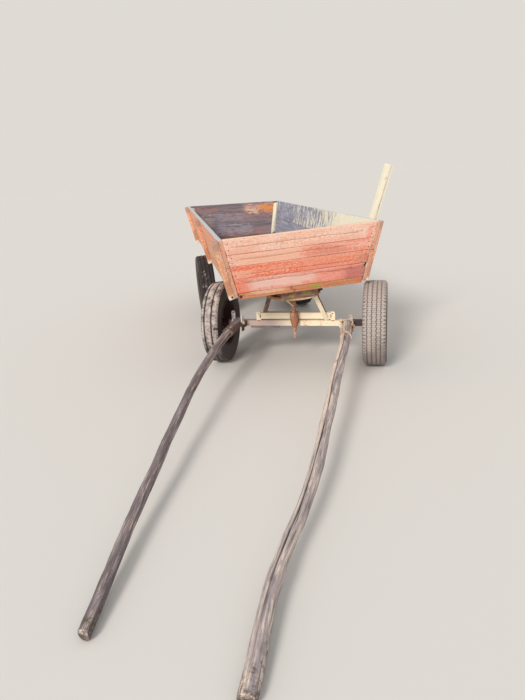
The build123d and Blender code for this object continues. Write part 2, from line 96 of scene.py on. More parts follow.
class CartPlaces(bpy.types.PropertyGroup):
    kingpin_x: length("Kingpin X", "Where the kingpin stands, to the right of the origin", 0.281)
    kingpin_y: length("Kingpin Y", "Where the kingpin stands, behind the origin", -0.071)
    turn: angle("Turn", "How far the front carriage is parked turned", -25)
    overhang: length("Front overhang", "From the kingpin to the foot of the front wall", 0.248)
    rear: length("Rear reach", "From the kingpin to the foot of the tail wall", 2.552)
    side_lean: angle("Side lean", "How far the sides lean outwards", 12)
    end_lean: angle("End lean", "How far the front and the tail lean outwards", 9.5)
    axle_height: length("Axle height", "The wheels' centres above the ground", 0.3)
    axle_lead: length("Axle lead", "The front axle behind the kingpin", 0.052)
    rear_axle: length("Rear axle", "The rear axle behind the kingpin", 1.652)
    front_hub: length(
        "Front hub", "The middle of a front wheel, out from the cart's middle line", 0.575,
    )
    rear_hub: length(
        "Rear hub", "The middle of a rear wheel, out from the cart's middle line", 0.49,
    )
    front_twist: length(
        "Front twist", "How far the front wall's right end stands up, for a metre of width", 0.024,
    )
    rear_twist: length(
        "Rear twist", "How far the tail's right end hangs down, for a metre of width", 0.02,
    )


class CartBoards(bpy.types.PropertyGroup):
    wave: length("Wave", "How far a plank's long edges wander", 0.0009)
    chip: length("Chips", "How ragged a plank's ends are", 0.005)
    rounding: length("Rounding", "The rounding of a plank's corners", 0.0015)
    swell: length("Swell", "How far a plank swells into the gap beside it", 0.0018)
    stake_swell: length(
        "Stake swell", "How far the rough stake stands out past its trimmed size", 0.006,
    )
    salmon: colour("Salmon", "The faded paint on the top front board", 238, 182, 156)
    brick: colour("Brick", "The mottled paint on the third front board", 230, 160, 136)
    red: colour("Red", "The bright paint on the second front board", 232, 108, 74)
    pink: colour("Pink", "The scratched paint on the lowest front board", 230, 146, 122)
    orange: colour("Orange", "The stain on sides and battens", 222, 146, 104)
    sill: colour("Sill", "The stain on the front sill", 196, 132, 92)
    moss: colour("Moss", "Moss on the sill and on the timbers below", 168, 156, 66)
    bare: colour("Bare wood", "Grey, weathered wood", 150, 134, 126)
    fresh: colour("Fresh wood", "Wood where the paint has split off", 240, 204, 178)
    cream: colour("Cream", "Peeled posts and the stake", 252, 244, 220)
    grey: colour("Grey", "The inner faces of the sides", 176, 178, 198)
    mauve: colour("Mauve", "The inner face of the tail", 150, 134, 140)
    brown: colour("Brown", "Wood in the deep of scratches and checks", 120, 72, 62)


class CartPoles(bpy.types.PropertyGroup):
    ring_step: length("Ring step", "The spacing of sections along a pole", 0.009)
    knot_height: length("Knot height", "How far a knot stands out", 0.004)
    hinge_lead: length("Hinge lead", "The shafts' pins in front of the kingpin", 0.03)
    # Light wood is the painted light on a pole's lit side, and Shaded wood is the painted shade on
    # its other side.
    light: colour("Light wood", "Peeled, sunned wood", 252, 230, 206)
    shade: colour("Shaded wood", "The greyer side of the peeled pole", 186, 172, 168)
    dark: colour("Dark wood", "Grey, wet wood", 158, 146, 150)
    bark: colour("Bark", "What bark is left", 114, 100, 104)


class CartTyres(bpy.types.PropertyGroup):
    radius: length("Radius", "From the axle to the tread", 0.3)
    groove: length("Groove depth", "How deep the tread's grooves are", 0.006)
    steps: bpy.props.IntProperty(
        name="Steps", description="Sections round a tyre", default=540, min=60, max=900,
    )
    rubber: colour("Rubber", "Clean old rubber", 62, 54, 55)
    dust: colour("Dust", "Dry mud on the tread", 196, 182, 176)


class CartMetal(bpy.types.PropertyGroup):
    weld: length("Weld", "The radius of a weld bead", 0.004)
    cream: colour("Cream paint", "Dusty paint on axles and bars", 248, 232, 202)
    rust: colour("Rust", "Old orange-brown rust", 182, 122, 94)
    dark: colour("Dark rust", "Old dark rust", 74, 50, 42)


class CartLight(bpy.types.PropertyGroup):
    sun: bpy.props.FloatProperty(
        name="Key", description="Strength of the key lamp", default=2.2, min=0.0,
    )
    sky: share("Sky", "Strength of the even light from all sides", 0.62)
    floor: colour("Floor", "The pale floor", 222, 219, 214)
    backdrop: colour("Backdrop", "The background, in the lit floor's tone", 223, 219, 212)


# Shapes: every surface is a grid of points, worked out as whole arrays. Lengths are in metres,
# and a number whose name ends in CELL is the size of a noise's cells.

def rotation(turn):
    """A turn about the vertical: x cos - y sin, x sin + y cos."""
    cosine, sine = math.cos(turn), math.sin(turn)
    return np.array([[cosine, -sine, 0], [sine, cosine, 0], [0, 0, 1.0]])


def body_frame():
    """Origin and axes of the cart's own body, under the kingpin."""
    places = bpy.context.scene.cart_places
    return np.array([places.kingpin_x, places.kingpin_y, 0.0]), np.eye(3)


def carriage_frame():
    """Origin and axes of the front carriage, which is parked turned about the kingpin."""
    return body_frame()[0], rotation(bpy.context.scene.cart_places.turn)


def hinge_frame(hinge_x, swing):
    """Origin and axes of a shaft: under its pin, turned from the carriage by its own swing."""
    pin = (hinge_x, -bpy.context.scene.cart_poles.hinge_lead, 0)
    return placed(pin, carriage_frame()), rotation(bpy.context.scene.cart_places.turn + swing)


def twisted(points):
    """Points of the box with its twist: x from the middle line times a slope that runs from front
    to tail."""
    places = bpy.context.scene.cart_places
    points = np.array(points, float)
    back = (points[..., 1] - places.kingpin_y + places.overhang) / (places.rear + places.overhang)
    slope = places.front_twist - (places.front_twist + places.rear_twist) * back
    points[..., 2] += (points[..., 0] - places.kingpin_x) * slope
    return points


def placed(points, where):
    """Points of a frame, as points of the whole cart: origin + axes times the point."""
    origin, axes = where
    return origin + np.asarray(points, float) @ axes.T


WORD, LOW_BITS, HALF_BITS = 0x7FFFFFFF, 0xFFFFF, 0x7FFFF
SEED_PRIME, SEED_START, KEY_PRIME, AXIS_PRIME, AXIS_STEP = 7919, 17, 31337, 73856093, 19349663
STIRS = ((15, 2246822519), (13, 3266489917))


def noise(points, cell, seed):
    """Smooth noise from -1 to 1: one random value per lattice corner, blended by the fade 6t^5 -
    15t^4 + 10t^3. The value is a hash of the seed and of the corner's whole numbers."""
    scaled = np.asarray(points, float) / cell
    base = np.floor(scaled).astype(np.int64)
    part = scaled - base
    part = part**3 * (part * (part * 6 - 15) + 10)
    total = np.zeros(scaled.shape[:-1])
    dims = scaled.shape[-1]
    for corner in range(2**dims):
        offset = np.array([(corner >> k) & 1 for k in range(dims)])
        key = np.full(scaled.shape[:-1], seed * SEED_PRIME + SEED_START, np.int64)
        weight = np.ones(scaled.shape[:-1])
        for k in range(dims):
            number = (base[..., k] + offset[k]) * (AXIS_PRIME + AXIS_STEP * k)
            key = (key * KEY_PRIME + number) & WORD
            weight = weight * np.where(offset[k] == 1, part[..., k], 1 - part[..., k])
        for shift, prime in STIRS:
            key = ((key >> shift) ^ key) * prime & WORD
        total += weight * ((key & LOW_BITS) / HALF_BITS - 1)
    return total


def cloud(points, cell, seed, octaves=3):
    """Noise added to itself at half the size and half the height, octave after octave."""
    return sum(noise(points, cell / 2**k, seed + 31 * k) / 2**k for k in range(octaves))


def column(*parts):
    """Arrays of one shape side by side, as the last axis."""
    return np.stack(np.broadcast_arrays(*[np.asarray(p, float) for p in parts]), -1)


def on_line(run):
    """Places along one line, as points of a plane."""
    return column(run, 0 * run)


def girth(first, second):
    """The way along a closed outline, from its first point round to that point again."""
    pieces = np.hypot(np.diff(first, append=first[:1]), np.diff(second, append=second[:1]))
    return np.concatenate([[0], np.cumsum(pieces)])


def angles(count):
    """Even angles of a full turn."""
    return np.linspace(0, 2 * math.pi, count, endpoint=False)


def circle(q, first, second):
    """Unit circle on two axes: cos q times the first + sin q times the second."""
    return np.cos(q)[..., None] * first + np.sin(q)[..., None] * second


def unit(vector):
    vector = np.asarray(vector, float)
    return vector / np.linalg.norm(vector)


def skin(name, shells, material, body, replaces=()):
    """One mesh over shells of points. Point [i, j] of a shell is joined to its neighbours i + 1 and
    j + 1, the last of each ring j to its first, and the first and last rings are closed on
    themselves."""
    points, quads, texture, marks = [], [], [], {}
    start = 0
    for shell in shells:
        grid = shell["points"]
        rows, columns = grid.shape[:2]
        index = start + np.arange(rows * columns).reshape(rows, columns)
        beside = np.roll(index, -1, axis=1)
        quads.append(np.stack([index[:-1], beside[:-1], beside[1:], index[1:]], -1).reshape(-1, 4))
        flat = shell.get("uv")
        if flat is None:
            flat = column(
                np.arange(rows)[:, None] / rows, np.arange(columns + 1)[None, :] / columns,
            )
        square = [flat[:-1, :-1], flat[:-1, 1:], flat[1:, 1:], flat[1:, :-1]]
        texture.append(np.stack(square, -2).reshape(-1, 2))
        points.append(grid.reshape(-1, 3))
        for key, value in shell.get("marks", {}).items():
            marks.setdefault(key, []).append(np.broadcast_to(value, (rows, columns)).ravel())
        start += rows * columns
    points, quads, texture = np.concatenate(points), np.concatenate(quads), np.concatenate(texture)
    mesh = bpy.data.meshes.new(name)
    mesh.vertices.add(len(points))
    mesh.vertices.foreach_set("co", points.astype(np.float32).ravel())
    mesh.loops.add(quads.size)
    mesh.loops.foreach_set("vertex_index", quads.astype(np.int32).ravel())
    mesh.polygons.add(len(quads))
    mesh.polygons.foreach_set("loop_start", np.arange(0, quads.size, 4, dtype=np.int32))
    mesh.update(calc_edges=True)
    layer = mesh.uv_layers.new(name="UVMap")
    layer.data.foreach_set("uv", texture.astype(np.float32).ravel())
    for key, value in marks.items():
        attribute = mesh.attributes.new(key, "FLOAT", "POINT")
        attribute.data.foreach_set("value", np.concatenate(value).astype(np.float32))
    work = bmesh.new()
    work.from_mesh(mesh)
    bmesh.ops.remove_doubles(work, verts=work.verts, dist=1e-6)
    bmesh.ops.dissolve_degenerate(work, edges=work.edges, dist=1e-7)
    bmesh.ops.recalc_face_normals(work, faces=work.faces)
    work.to_mesh(mesh)
    work.free()
    mesh.polygons.foreach_set("use_smooth", np.ones(len(mesh.polygons), bool))
    mesh.materials.append(material)
    made = bpy.data.objects.new(name, mesh)
    bpy.context.scene.collection.objects.link(made)
    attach(made, body)
    if replaces:
        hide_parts(*replaces)


def worn(node, shells, material):
    """The worn form of one CAD node, on its body."""
    skin(node + "_worn", shells, material, BODY_OF[node], [node])


def node_points(name):
    """The corners of a CAD node's mesh, as an array."""
    mesh = NODES[name].data
    points = np.empty(len(mesh.vertices) * 3, np.float32)
    mesh.vertices.foreach_get("co", points)
    return points.reshape(-1, 3).astype(float)


def block_corners(name, axes, keep=None):
    """The eight corners [s, a, t] of a plank in a CAD node: for each corner of its box along the
    three axes, the point of the mesh that lies nearest to it. keep picks one plank's points by
    their local coordinates."""
    points = node_points(name)
    local = points @ np.asarray(axes).T
    if keep is not None:
        chosen = keep(local)
        points, local = points[chosen], local[chosen]
    low, high = local.min(0), local.max(0)
    shares = (local - low) / (high - low)
    corners = np.empty((2, 2, 2, 3))
    for s in (0, 1):
        for a in (0, 1):
            for t in (0, 1):
                corners[s, a, t] = points[np.abs(shares - (s, a, t)).sum(1).argmin()]
    return corners


def box_corners(name, axes, keep=None):
    """The corners of a plank of the box, twisted with it and swollen across its length into the
    gaps."""
    corners = twisted(block_corners(name, axes, keep))
    across = corners[:, 1] - corners[:, 0]
    across *= bpy.context.scene.cart_boards.swell / np.linalg.norm(across, axis=-1, keepdims=True)
    corners[:, 1] += across
    corners[:, 0] -= across
    return corners


def outline(wide, thick, r, columns):
    """A plank's section, as places across and through it: outer face, edge, inner face and edge,
    each corner rounded by points r sin and r cos of an angle."""
    bend = np.array([0.3, 1.0]) * math.pi / 2
    back = bend - bend[0]
    face, edge = np.linspace(r, wide - r, columns), np.linspace(r, thick - r, 4)[1:-1]
    sine, cosine = r * np.sin(bend), r * np.cos(bend)
    back_sine, back_cosine = r * np.sin(back), r * np.cos(back)
    across = np.concatenate([
        face, wide - r + sine, np.full(2, wide), wide - r + back_cosine,
        face[::-1], r - sine, np.zeros(2), r - back_cosine,
    ])
    through = np.concatenate([
        np.full(columns, thick), thick - r + cosine, edge[::-1], r - back_sine,
        np.zeros(columns), r - cosine, edge, thick - r + back_sine,
    ])
    return across, through


def drawn_in(places, size, inset, full):
    """Places of a section, moved in from its edges by the inset and shrunk towards its middle by
    the fullness."""
    away = places - size / 2
    return size / 2 + np.sign(away) * np.maximum(np.abs(away) - inset[:, None], 0) * full[:, None]


def trilinear(corners, u, v, w):
    """Points at shares u, v and w of a block: the mean of its eight corners, each times its
    shares."""
    u, v, w = u[..., None], v[..., None], w[..., None]
    grid = 0
    for i, x in ((0, 1 - u), (1, u)):
        for j, y in ((0, 1 - v), (1, v)):
            for k, z in ((0, 1 - w), (1, w)):
                grid = grid + x * y * z * corners[i, j, k]
    return grid


END_RINGS = (0.0, 0.4, 0.8, 1.0)
WARP, WARP_CELL, RIDGES, RIDGE_CELL = 0.0007, 0.09, 0.0004, 0.006
EDGE_CELL, OTHER_EDGE_CELL = 0.16, 0.13
CRACK_WANDER, CRACK_FADE, CRACK_SHUT, CRACK_CELL, GAPE_CELL = 0.004, 0.06, 0.3, 0.11, 0.05
CHIP_REACH, CHIP_MOST, CHIP_CELL = 0.03, 1.4, 0.018
SPLIT_FROM, SPLIT_FADE, SPLIT_REACH, SPLIT_CELL = 0.62, 0.2, 0.12, 0.02
GRAIN_SHIFT = (3.71, 1.37)


def plank(corners, seed, crack=None, step=0.016, columns=18, chip=None, offset=None, split=0.0):
    """A plank: a rounded rectangle carried along its length and shrunk to a point at either end. A
    point at the shares s, a and t along, across and through it is the trilinear mean of the eight
    corners. Noise moves the long edges, the faces and the ends. The crack is (across, from, to,
    depth, width): it draws three columns of the outer face together round its line and sinks the
    middle one. A split takes wood off one corner."""
    boards = bpy.context.scene.cart_boards
    chip = boards.chip if chip is None else chip
    middle = corners.mean((1, 2))
    long = np.linalg.norm(middle[1] - middle[0])
    wide = np.linalg.norm(corners[:, 1].mean((0, 1)) - corners[:, 0].mean((0, 1)))
    thick = np.linalg.norm(corners[:, :, 1].mean((0, 1)) - corners[:, :, 0].mean((0, 1)))
    r = min(boards.rounding, thick / 4, wide / 4)
    a, t = outline(wide, thick, r, columns)
    run = girth(a, t)
    count, rings = max(6, int(long / step)), len(END_RINGS)
    s = np.concatenate([np.zeros(rings), np.linspace(r, long - r, count), np.full(rings, long)])
    full = np.concatenate([END_RINGS, np.ones(count), END_RINGS[::-1]])
    inset = np.concatenate([np.full(rings, r), np.zeros(count), np.full(rings, r)])
    S = np.repeat(s[:, None], len(a), 1)
    A = np.repeat(a[None], len(s), 0)
    T = np.repeat(t[None], len(s), 0)
    if crack:
        across, begin, end, depth, width = crack
        line = across * wide + CRACK_WANDER * noise(on_line(s), CRACK_CELL, seed + 5)
        open_by = np.clip(np.minimum(s / long - begin, end - s / long) / CRACK_FADE, 0, 1)
        open_by = open_by * (0.7 + 0.3 * noise(on_line(s), GAPE_CELL, seed + 6))
        near = int(np.clip(np.searchsorted(a[:columns], across * wide), 2, columns - 3))
        for k, shift in ((near - 1, -width), (near, 0.0), (near + 1, width)):
            A[:, k] = line + shift * np.maximum(open_by, CRACK_SHUT)
        T[:, near] = thick - depth * open_by
    A, T = drawn_in(A, wide, inset, full), drawn_in(T, thick, inset, full)
    side = A / wide
    one_edge = noise(column(S, S * 0 + 3), EDGE_CELL, seed)
    other_edge = noise(column(S, S * 0 + 7), OTHER_EDGE_CELL, seed + 1)
    A = A + boards.wave * (side * one_edge + (1 - side) * other_edge)
    ridges = RIDGES * noise(column(S / 12, A), RIDGE_CELL, seed + 3)
    T = T + WARP * cloud(column(S, A), WARP_CELL, seed + 2) + ridges
    ragged = 0.5 + 0.5 * cloud(column(A, T * 2), CHIP_CELL, seed + 4, 2)
    near_end = np.clip(1 - np.minimum(S, long - S) / CHIP_REACH, 0, 1)
    S = S + np.where(S < long / 2, 1, -1) * near_end * chip * np.clip(ragged, 0, CHIP_MOST)
    if split:
        gone = np.clip((A / wide - SPLIT_FROM) / SPLIT_FADE, 0, 1)
        gone = gone * np.clip(1 - (long - S) / SPLIT_REACH, 0, 1)
        S = S - gone * split * (0.6 + 0.4 * noise(column(A, T), SPLIT_CELL, seed + 9))
    u, v, w = S / long, A / wide, T / thick
    shift = [seed * away for away in GRAIN_SHIFT] if offset is None else offset
    S_wrap = np.concatenate([S, S[:, :1]], 1)
    return {
        "points": trilinear(corners, u, v, w),
        "uv": column(S_wrap + shift[0], run[None, :] * (0.25 + 0.75 * full[:, None]) + shift[1]),
        "marks": {"outer": w, "along": u, "across": v},
    }


def spline(knots, values, at):
    """Cubic Hermite curve through values at knots: h00 v0 + h10 h m0 + h01 v1 + h11 h m1, its
    slopes m the means of the neighbouring runs' slopes."""
    knots, values = np.asarray(knots, float), np.asarray(values, float)
    slope = np.gradient(values, knots)
    k = np.clip(np.searchsorted(knots, at) - 1, 0, len(knots) - 2)
    h = knots[k + 1] - knots[k]
    t = (at - knots[k]) / h
    return (
        (2 * t**3 - 3 * t**2 + 1) * values[k] + (t**3 - 2 * t**2 + t) * h * slope[k]
        + (3 * t**2 - 2 * t**3) * values[k + 1] + (t**3 - t**2) * h * slope[k + 1]
    )


BEAD_SIDES, BEAD_STEP, BEAD_RIPPLE, RIPPLE_HEIGHT = 8, 0.004, 0.0025, 0.25
BEAD_ASKEW, BOLT_ASKEW = (0.3, 0.2, 0.93), (0.31, 0.87, 0.39)


def bead(start, end, radius, seed):
    """A weld bead or a wire: a lumpy tube along a run, its radius times 1 + noise, closed to a
    point at each end."""
    start, end = np.asarray(start, float), np.asarray(end, float)
    run = end - start
    long = np.linalg.norm(run)
    count = max(5, int(long / BEAD_STEP))
    s = np.linspace(0, 1, count)
    side = unit(np.cross(run / long, BEAD_ASKEW))
    up = np.cross(run / long, side)
    q = angles(BEAD_SIDES)
    closing = np.minimum(1, np.minimum(s, 1 - s) * count / 2)
    swell = radius * (1 + RIPPLE_HEIGHT * np.sin(s * long / BEAD_RIPPLE)) * closing
    size = swell[:, None] * (1 + 0.2 * noise(column(s[:, None] * 9, q[None] * 1.5), 1.0, seed))
    return {"points": start + s[:, None, None] * run + size[..., None] * circle(q[None], side, up)}


BOLT_POINTS = 24
HEXAGON = (0.0, 1.0, 1.0, 1.0, 0.86, 0.5, 0.0)
DOME = (0.0, 1.0, 1.0, 0.92, 0.7, 0.4, 0.0)


def bolt(centre, axis, radius, height, sides=6, dome=0.35):
    """A bolt head: rings of radius R / cos(angle from the middle of a flat), chamfered, with a
    slight dome. With sides = 0 it is a round, domed head."""
    axis = unit(axis)
    up = unit(np.cross(axis, BOLT_ASKEW))
    across = np.cross(axis, up)
    q = angles(BOLT_POINTS)
    flat, size = np.ones(BOLT_POINTS), np.array(DOME) * radius
    if sides:
        pitch = 2 * math.pi / sides
        flat, size = 1 / np.cos((q + pitch / 2) % pitch - pitch / 2), np.array(HEXAGON) * radius
    rise = np.array([-0.2, -0.2, 0.0, 0.75, 1.0, 1.0 + 0.3 * dome, 1 + 0.4 * dome]) * height
    ring = circle(q[None], up, across) * (size[:, None] * flat[None])[..., None]
    return {"points": np.asarray(centre) + rise[:, None, None] * axis + ring}


NAIL_RADIUS, NAIL_HEIGHT = 0.0036, 0.0018


def nails(corners, spots, way):
    """Nail heads on a board's outer face, each at its shares s and a along and across: the bilinear
    mean of the face's corners."""
    face = corners[:, :, 1]
    heads = []
    for s, a in spots:
        low, high = face[0, 0] * (1 - s) + face[1, 0] * s, face[0, 1] * (1 - s) + face[1, 1] * s
        heads.append(bolt(low * (1 - a) + high * a, way, NAIL_RADIUS, NAIL_HEIGHT, sides=0))
    return heads


# Finishes: node groups for the effects that several materials share

WHITE = (1.0, 1.0, 1.0)


def linear(value):
    """A shown colour as the light it stands for."""
    value = np.asarray(value, float)
    light = np.where(value <= 0.04045, value / 12.92, ((value + 0.055) / 1.055) ** 2.4)
    return tuple(light) + (1.0,)


def dim(tone, share_of):
    """A colour times one number."""
    return [share_of * c for c in tone]


def mix(first, share_one, second, share_two):
    """Two colours added, each times its share."""
    return [share_one * a + share_two * b for a, b in zip(first, second)]


def add(tree, kind, sockets=None, **settings):
    """A node in a tree, with its settings and with each named socket set or linked."""
    made = tree.nodes.new(kind)
    for key, value in settings.items():
        setattr(made, key, value)
    for key, value in (sockets or {}).items():
        socket = made.inputs[key]
        if isinstance(value, bpy.types.NodeSocket):
            tree.links.new(value, socket)
        else:
            socket.default_value = value
    return made


def calc(tree, operation, first, second):
    return add(tree, "ShaderNodeMath", {0: first, 1: second}, operation=operation).outputs[0]


def times(tree, first, second):
    return calc(tree, "MULTIPLY", first, second)


def plus(tree, first, second):
    return calc(tree, "ADD", first, second)


def less(tree, first, second):
    return calc(tree, "SUBTRACT", first, second)


def larger(tree, first, second):
    return calc(tree, "MAXIMUM", first, second)


def inverse(tree, value):
    """1 - value."""
    return less(tree, 1.0, value)


def weighed(tree, first, share_one, second, share_two):
    """Two values added, each times its share."""
    return plus(tree, times(tree, first, share_one), times(tree, second, share_two))


def blend(tree, share_in, first, second, kind="MIX"):
    made = add(
        tree, "ShaderNodeMix", {0: share_in, 6: first, 7: second}, data_type="RGBA",
        blend_type=kind,
    )
    return made.outputs[2]


def stretch(tree, vector, pull):
    return add(tree, "ShaderNodeVectorMath", {0: vector, 1: pull}, operation="MULTIPLY").outputs[0]


def speckle(tree, vector, scale, detail=4.0, rough=0.55, warp=0.0):
    sockets = {
        "Vector": vector, "Scale": scale, "Detail": detail, "Roughness": rough, "Distortion": warp,
    }
    return add(tree, "ShaderNodeTexNoise", sockets).outputs[0]


def fibres(tree, vector, pull, detail, rough, warp=0.0):
    """Noise on coordinates that are multiplied by three factors, so that it is drawn out along the
    smallest."""
    return speckle(tree, stretch(tree, vector, pull), 1.0, detail, rough, warp)


def steps(tree, value, low, high):
    """How far a value has gone from low to high, from 0 to 1, eased."""
    sockets = {"Value": value, "From Min": low, "From Max": high}
    return add(tree, "ShaderNodeMapRange", sockets, interpolation_type="SMOOTHSTEP").outputs[0]


def mark(tree, name):
    return add(tree, "ShaderNodeAttribute", attribute_name=name).outputs["Fac"]


def group(name, inputs, outputs):
    """An empty node group with its sockets: (name, kind, default)."""
    tree = bpy.data.node_groups.new(name, "ShaderNodeTree")
    for label, kind, default in inputs:
        socket = tree.interface.new_socket(
            name=label, in_out="INPUT", socket_type="NodeSocket" + kind,
        )
        if default is not None:
            socket.default_value = default
    for label, kind in outputs:
        tree.interface.new_socket(name=label, in_out="OUTPUT", socket_type="NodeSocket" + kind)
    return tree, tree.nodes.new("NodeGroupInput").outputs, tree.nodes.new("NodeGroupOutput").inputs


def timber_group():
    """Weathered wood, its fibres along x: broad tone, fine fibres and thin dark checks, each a
    noise that is stretched along the grain."""
    tree, ins, outs = group("timber", [
        ("Vector", "Vector", None), ("Light", "Color", (0.6, 0.5, 0.4, 1)),
        ("Dark", "Color", (0.2, 0.15, 0.1, 1)), ("Checks", "Float", 0.5),
    ], [("Color", "Color"), ("Height", "Float")])
    vector = ins["Vector"]
    tone = fibres(tree, vector, (3, 26, 26), 5, 0.6, 0.6)
    fibre = fibres(tree, vector, (14, 420, 420), 4, 0.6)
    lines = fibres(tree, vector, (5, 130, 130), 3, 0.5, 0.4)
    checks = inverse(tree, steps(tree, lines, 0.30, 0.42))
    checks = times(tree, checks, ins["Checks"])
    both = weighed(tree, tone, 0.75, fibre, 0.35)
    body = blend(tree, steps(tree, both, 0.36, 0.76), ins["Dark"], ins["Light"])
    dark = blend(tree, 0.72, ins["Dark"], (0.02, 0.015, 0.012, 1))
    final = blend(tree, checks, body, dark)
    height = less(tree, times(tree, fibre, 0.5), checks)
    tree.links.new(final, outs["Color"])
    tree.links.new(height, outs["Height"])
    return tree


def paint_group():
    """Old paint on wood: streaks of a paler tone along the grain, flaked patches, and scratches
    across it."""
    tree, ins, outs = group("old_paint", [
        ("Vector", "Vector", None), ("Wood", "Color", (0.5, 0.4, 0.3, 1)),
        ("Paint", "Color", (0.6, 0.2, 0.1, 1)), ("Streak", "Color", (0.8, 0.5, 0.4, 1)),
        ("Deep", "Color", (0.2, 0.1, 0.1, 1)),
        ("Cover", "Float", 0.7), ("Fade", "Float", 0.3), ("Scratch", "Float", 0.3),
    ], [("Color", "Color"), ("Cover", "Float")])
    vector = ins["Vector"]
    patches = fibres(tree, vector, (7, 34, 34), 6, 0.65, 0.8)
    fine = fibres(tree, vector, (36, 320, 320), 3, 0.6)
    cross = fibres(tree, vector, (120, 9, 9), 3, 0.55, 1.2)
    wear = weighed(tree, patches, 0.7, fine, 0.3)
    limit = plus(tree, times(tree, ins["Cover"], 0.42), 0.30)
    near = less(tree, wear, limit)
    cover = inverse(tree, steps(tree, near, -0.04, 0.06))
    broad = fibres(tree, vector, (3, 30, 30), 5, 0.6, 0.5)
    veins = weighed(tree, broad, 0.6, fine, 0.4)
    faded = blend(
        tree, times(tree, steps(tree, veins, 0.42, 0.60), ins["Fade"]),
        ins["Paint"], ins["Streak"],
    )
    mottle = fibres(tree, vector, (60, 130, 130), 3, 0.6, 0.3)
    faded = blend(tree, times(tree, steps(tree, mottle, 0.52, 0.60), 0.75), faded, ins["Streak"])
    low = times(tree, inverse(tree, steps(tree, mottle, 0.38, 0.47)), 0.4)
    faded = blend(tree, low, faded, blend(tree, 0.5, ins["Paint"], ins["Deep"]))
    marks = larger(tree, steps(tree, fine, 0.62, 0.72), steps(tree, cross, 0.62, 0.72))
    deep = blend(tree, times(tree, marks, ins["Scratch"]), faded, ins["Deep"])
    final = blend(tree, cover, ins["Wood"], deep)
    tree.links.new(final, outs["Color"])
    tree.links.new(cover, outs["Cover"])
    return tree


def rust_group():
    """Rust over metal or paint: clouds of two sizes, with a darker grain inside them."""
    tree, ins, outs = group("rust", [
        ("Vector", "Vector", None), ("Metal", "Color", (0.6, 0.6, 0.6, 1)),
        ("Rust", "Color", (0.4, 0.15, 0.07, 1)), ("Dark", "Color", (0.08, 0.04, 0.03, 1)),
        ("Amount", "Float", 0.5),
    ], [("Color", "Color"), ("Rusted", "Float"), ("Height", "Float")])
    vector = ins["Vector"]
    big = speckle(tree, vector, 11.0, 6, 0.65, 0.4)
    small = speckle(tree, vector, 85.0, 5, 0.6)
    sum_of = weighed(tree, big, 0.7, small, 0.3)
    limit = less(tree, 0.82, times(tree, ins["Amount"], 0.62))
    rusted = steps(tree, less(tree, sum_of, limit), -0.04, 0.05)
    grain = blend(tree, steps(tree, small, 0.35, 0.7), ins["Dark"], ins["Rust"])
    tone = blend(tree, steps(tree, big, 0.3, 0.75), grain, ins["Rust"])
    tree.links.new(blend(tree, rusted, ins["Metal"], tone), outs["Color"])
    tree.links.new(rusted, outs["Rusted"])
    tree.links.new(times(tree, small, plus(tree, rusted, 0.2)), outs["Height"])
    return tree


def dirt_group():
    """Dry dirt: more where noise is high, and more towards the ground."""
    tree, ins, outs = group("dirt", [
        ("Vector", "Vector", None), ("Color", "Color", (0.5, 0.5, 0.5, 1)),
        ("Dirt", "Color", (0.3, 0.25, 0.2, 1)), ("Amount", "Float", 0.5), ("Level", "Float", 0.3),
    ], [("Color", "Color"), ("Dirt", "Float")])
    vector = ins["Vector"]
    height = add(tree, "ShaderNodeSeparateXYZ", {0: vector}).outputs[2]
    low = inverse(tree, steps(tree, calc(tree, "DIVIDE", height, ins["Level"]), 0.0, 1.0))
    patches = speckle(tree, vector, 16.0, 6, 0.7, 0.5)
    fine = speckle(tree, vector, 140.0, 3, 0.6)
    sum_of = weighed(tree, patches, 0.7, fine, 0.3)
    sum_of = plus(tree, sum_of, times(tree, low, 0.25))
    limit = less(tree, 0.85, times(tree, ins["Amount"], 0.6))
    dirty = steps(tree, less(tree, sum_of, limit), -0.08, 0.12)
    tree.links.new(blend(tree, dirty, ins["Color"], ins["Dirt"]), outs["Color"])
    tree.links.new(dirty, outs["Dirt"])
    return tree


GROUPS = {}
FINISHES = {}


def use(tree, name, sockets):
    """One of the shared node groups, placed in a material with its own values."""
    if name not in GROUPS:
        makers = {
            "timber": timber_group, "old_paint": paint_group, "rust": rust_group,
            "dirt": dirt_group,
        }
        GROUPS[name] = makers[name]()
    return add(tree, "ShaderNodeGroup", sockets, node_tree=GROUPS[name]).outputs


def finish(tree, tone, rough, height, relief, metal=None):
    """Ends a material: colour and roughness into its shader, and height through a bump."""
    shader = tree.nodes["Principled BSDF"]
    tree.links.new(tone, shader.inputs["Base Color"])
    for socket, value in (("Roughness", rough), ("Metallic", metal)):
        if isinstance(value, bpy.types.NodeSocket):
            tree.links.new(value, shader.inputs[socket])
        elif value is not None:
            shader.inputs[socket].default_value = value
    bump = add(tree, "ShaderNodeBump", {"Strength": 1.0, "Distance": relief, "Height": height})
    tree.links.new(bump.outputs[0], shader.inputs["Normal"])


def blank(name):
    """A new material with its nodes on, kept by name."""
    made = bpy.data.materials.new(name)
    made.use_nodes = True
    FINISHES[name] = made
    return made, made.node_tree


def grain_vector(tree):
    return add(tree, "ShaderNodeUVMap", uv_map="UVMap").outputs[0]


def object_vector(tree):
    return add(tree, "ShaderNodeTexCoord").outputs["Object"]


def span(tree, name, low, high, soft, wander):
    """1 where a board's own share lies between two values, eased at both, its borders moved by
    noise."""
    value = plus(tree, mark(tree, name), wander)
    rise = steps(tree, value, low - soft, low + soft)
    return times(tree, rise, inverse(tree, steps(tree, value, high - soft, high + soft)))


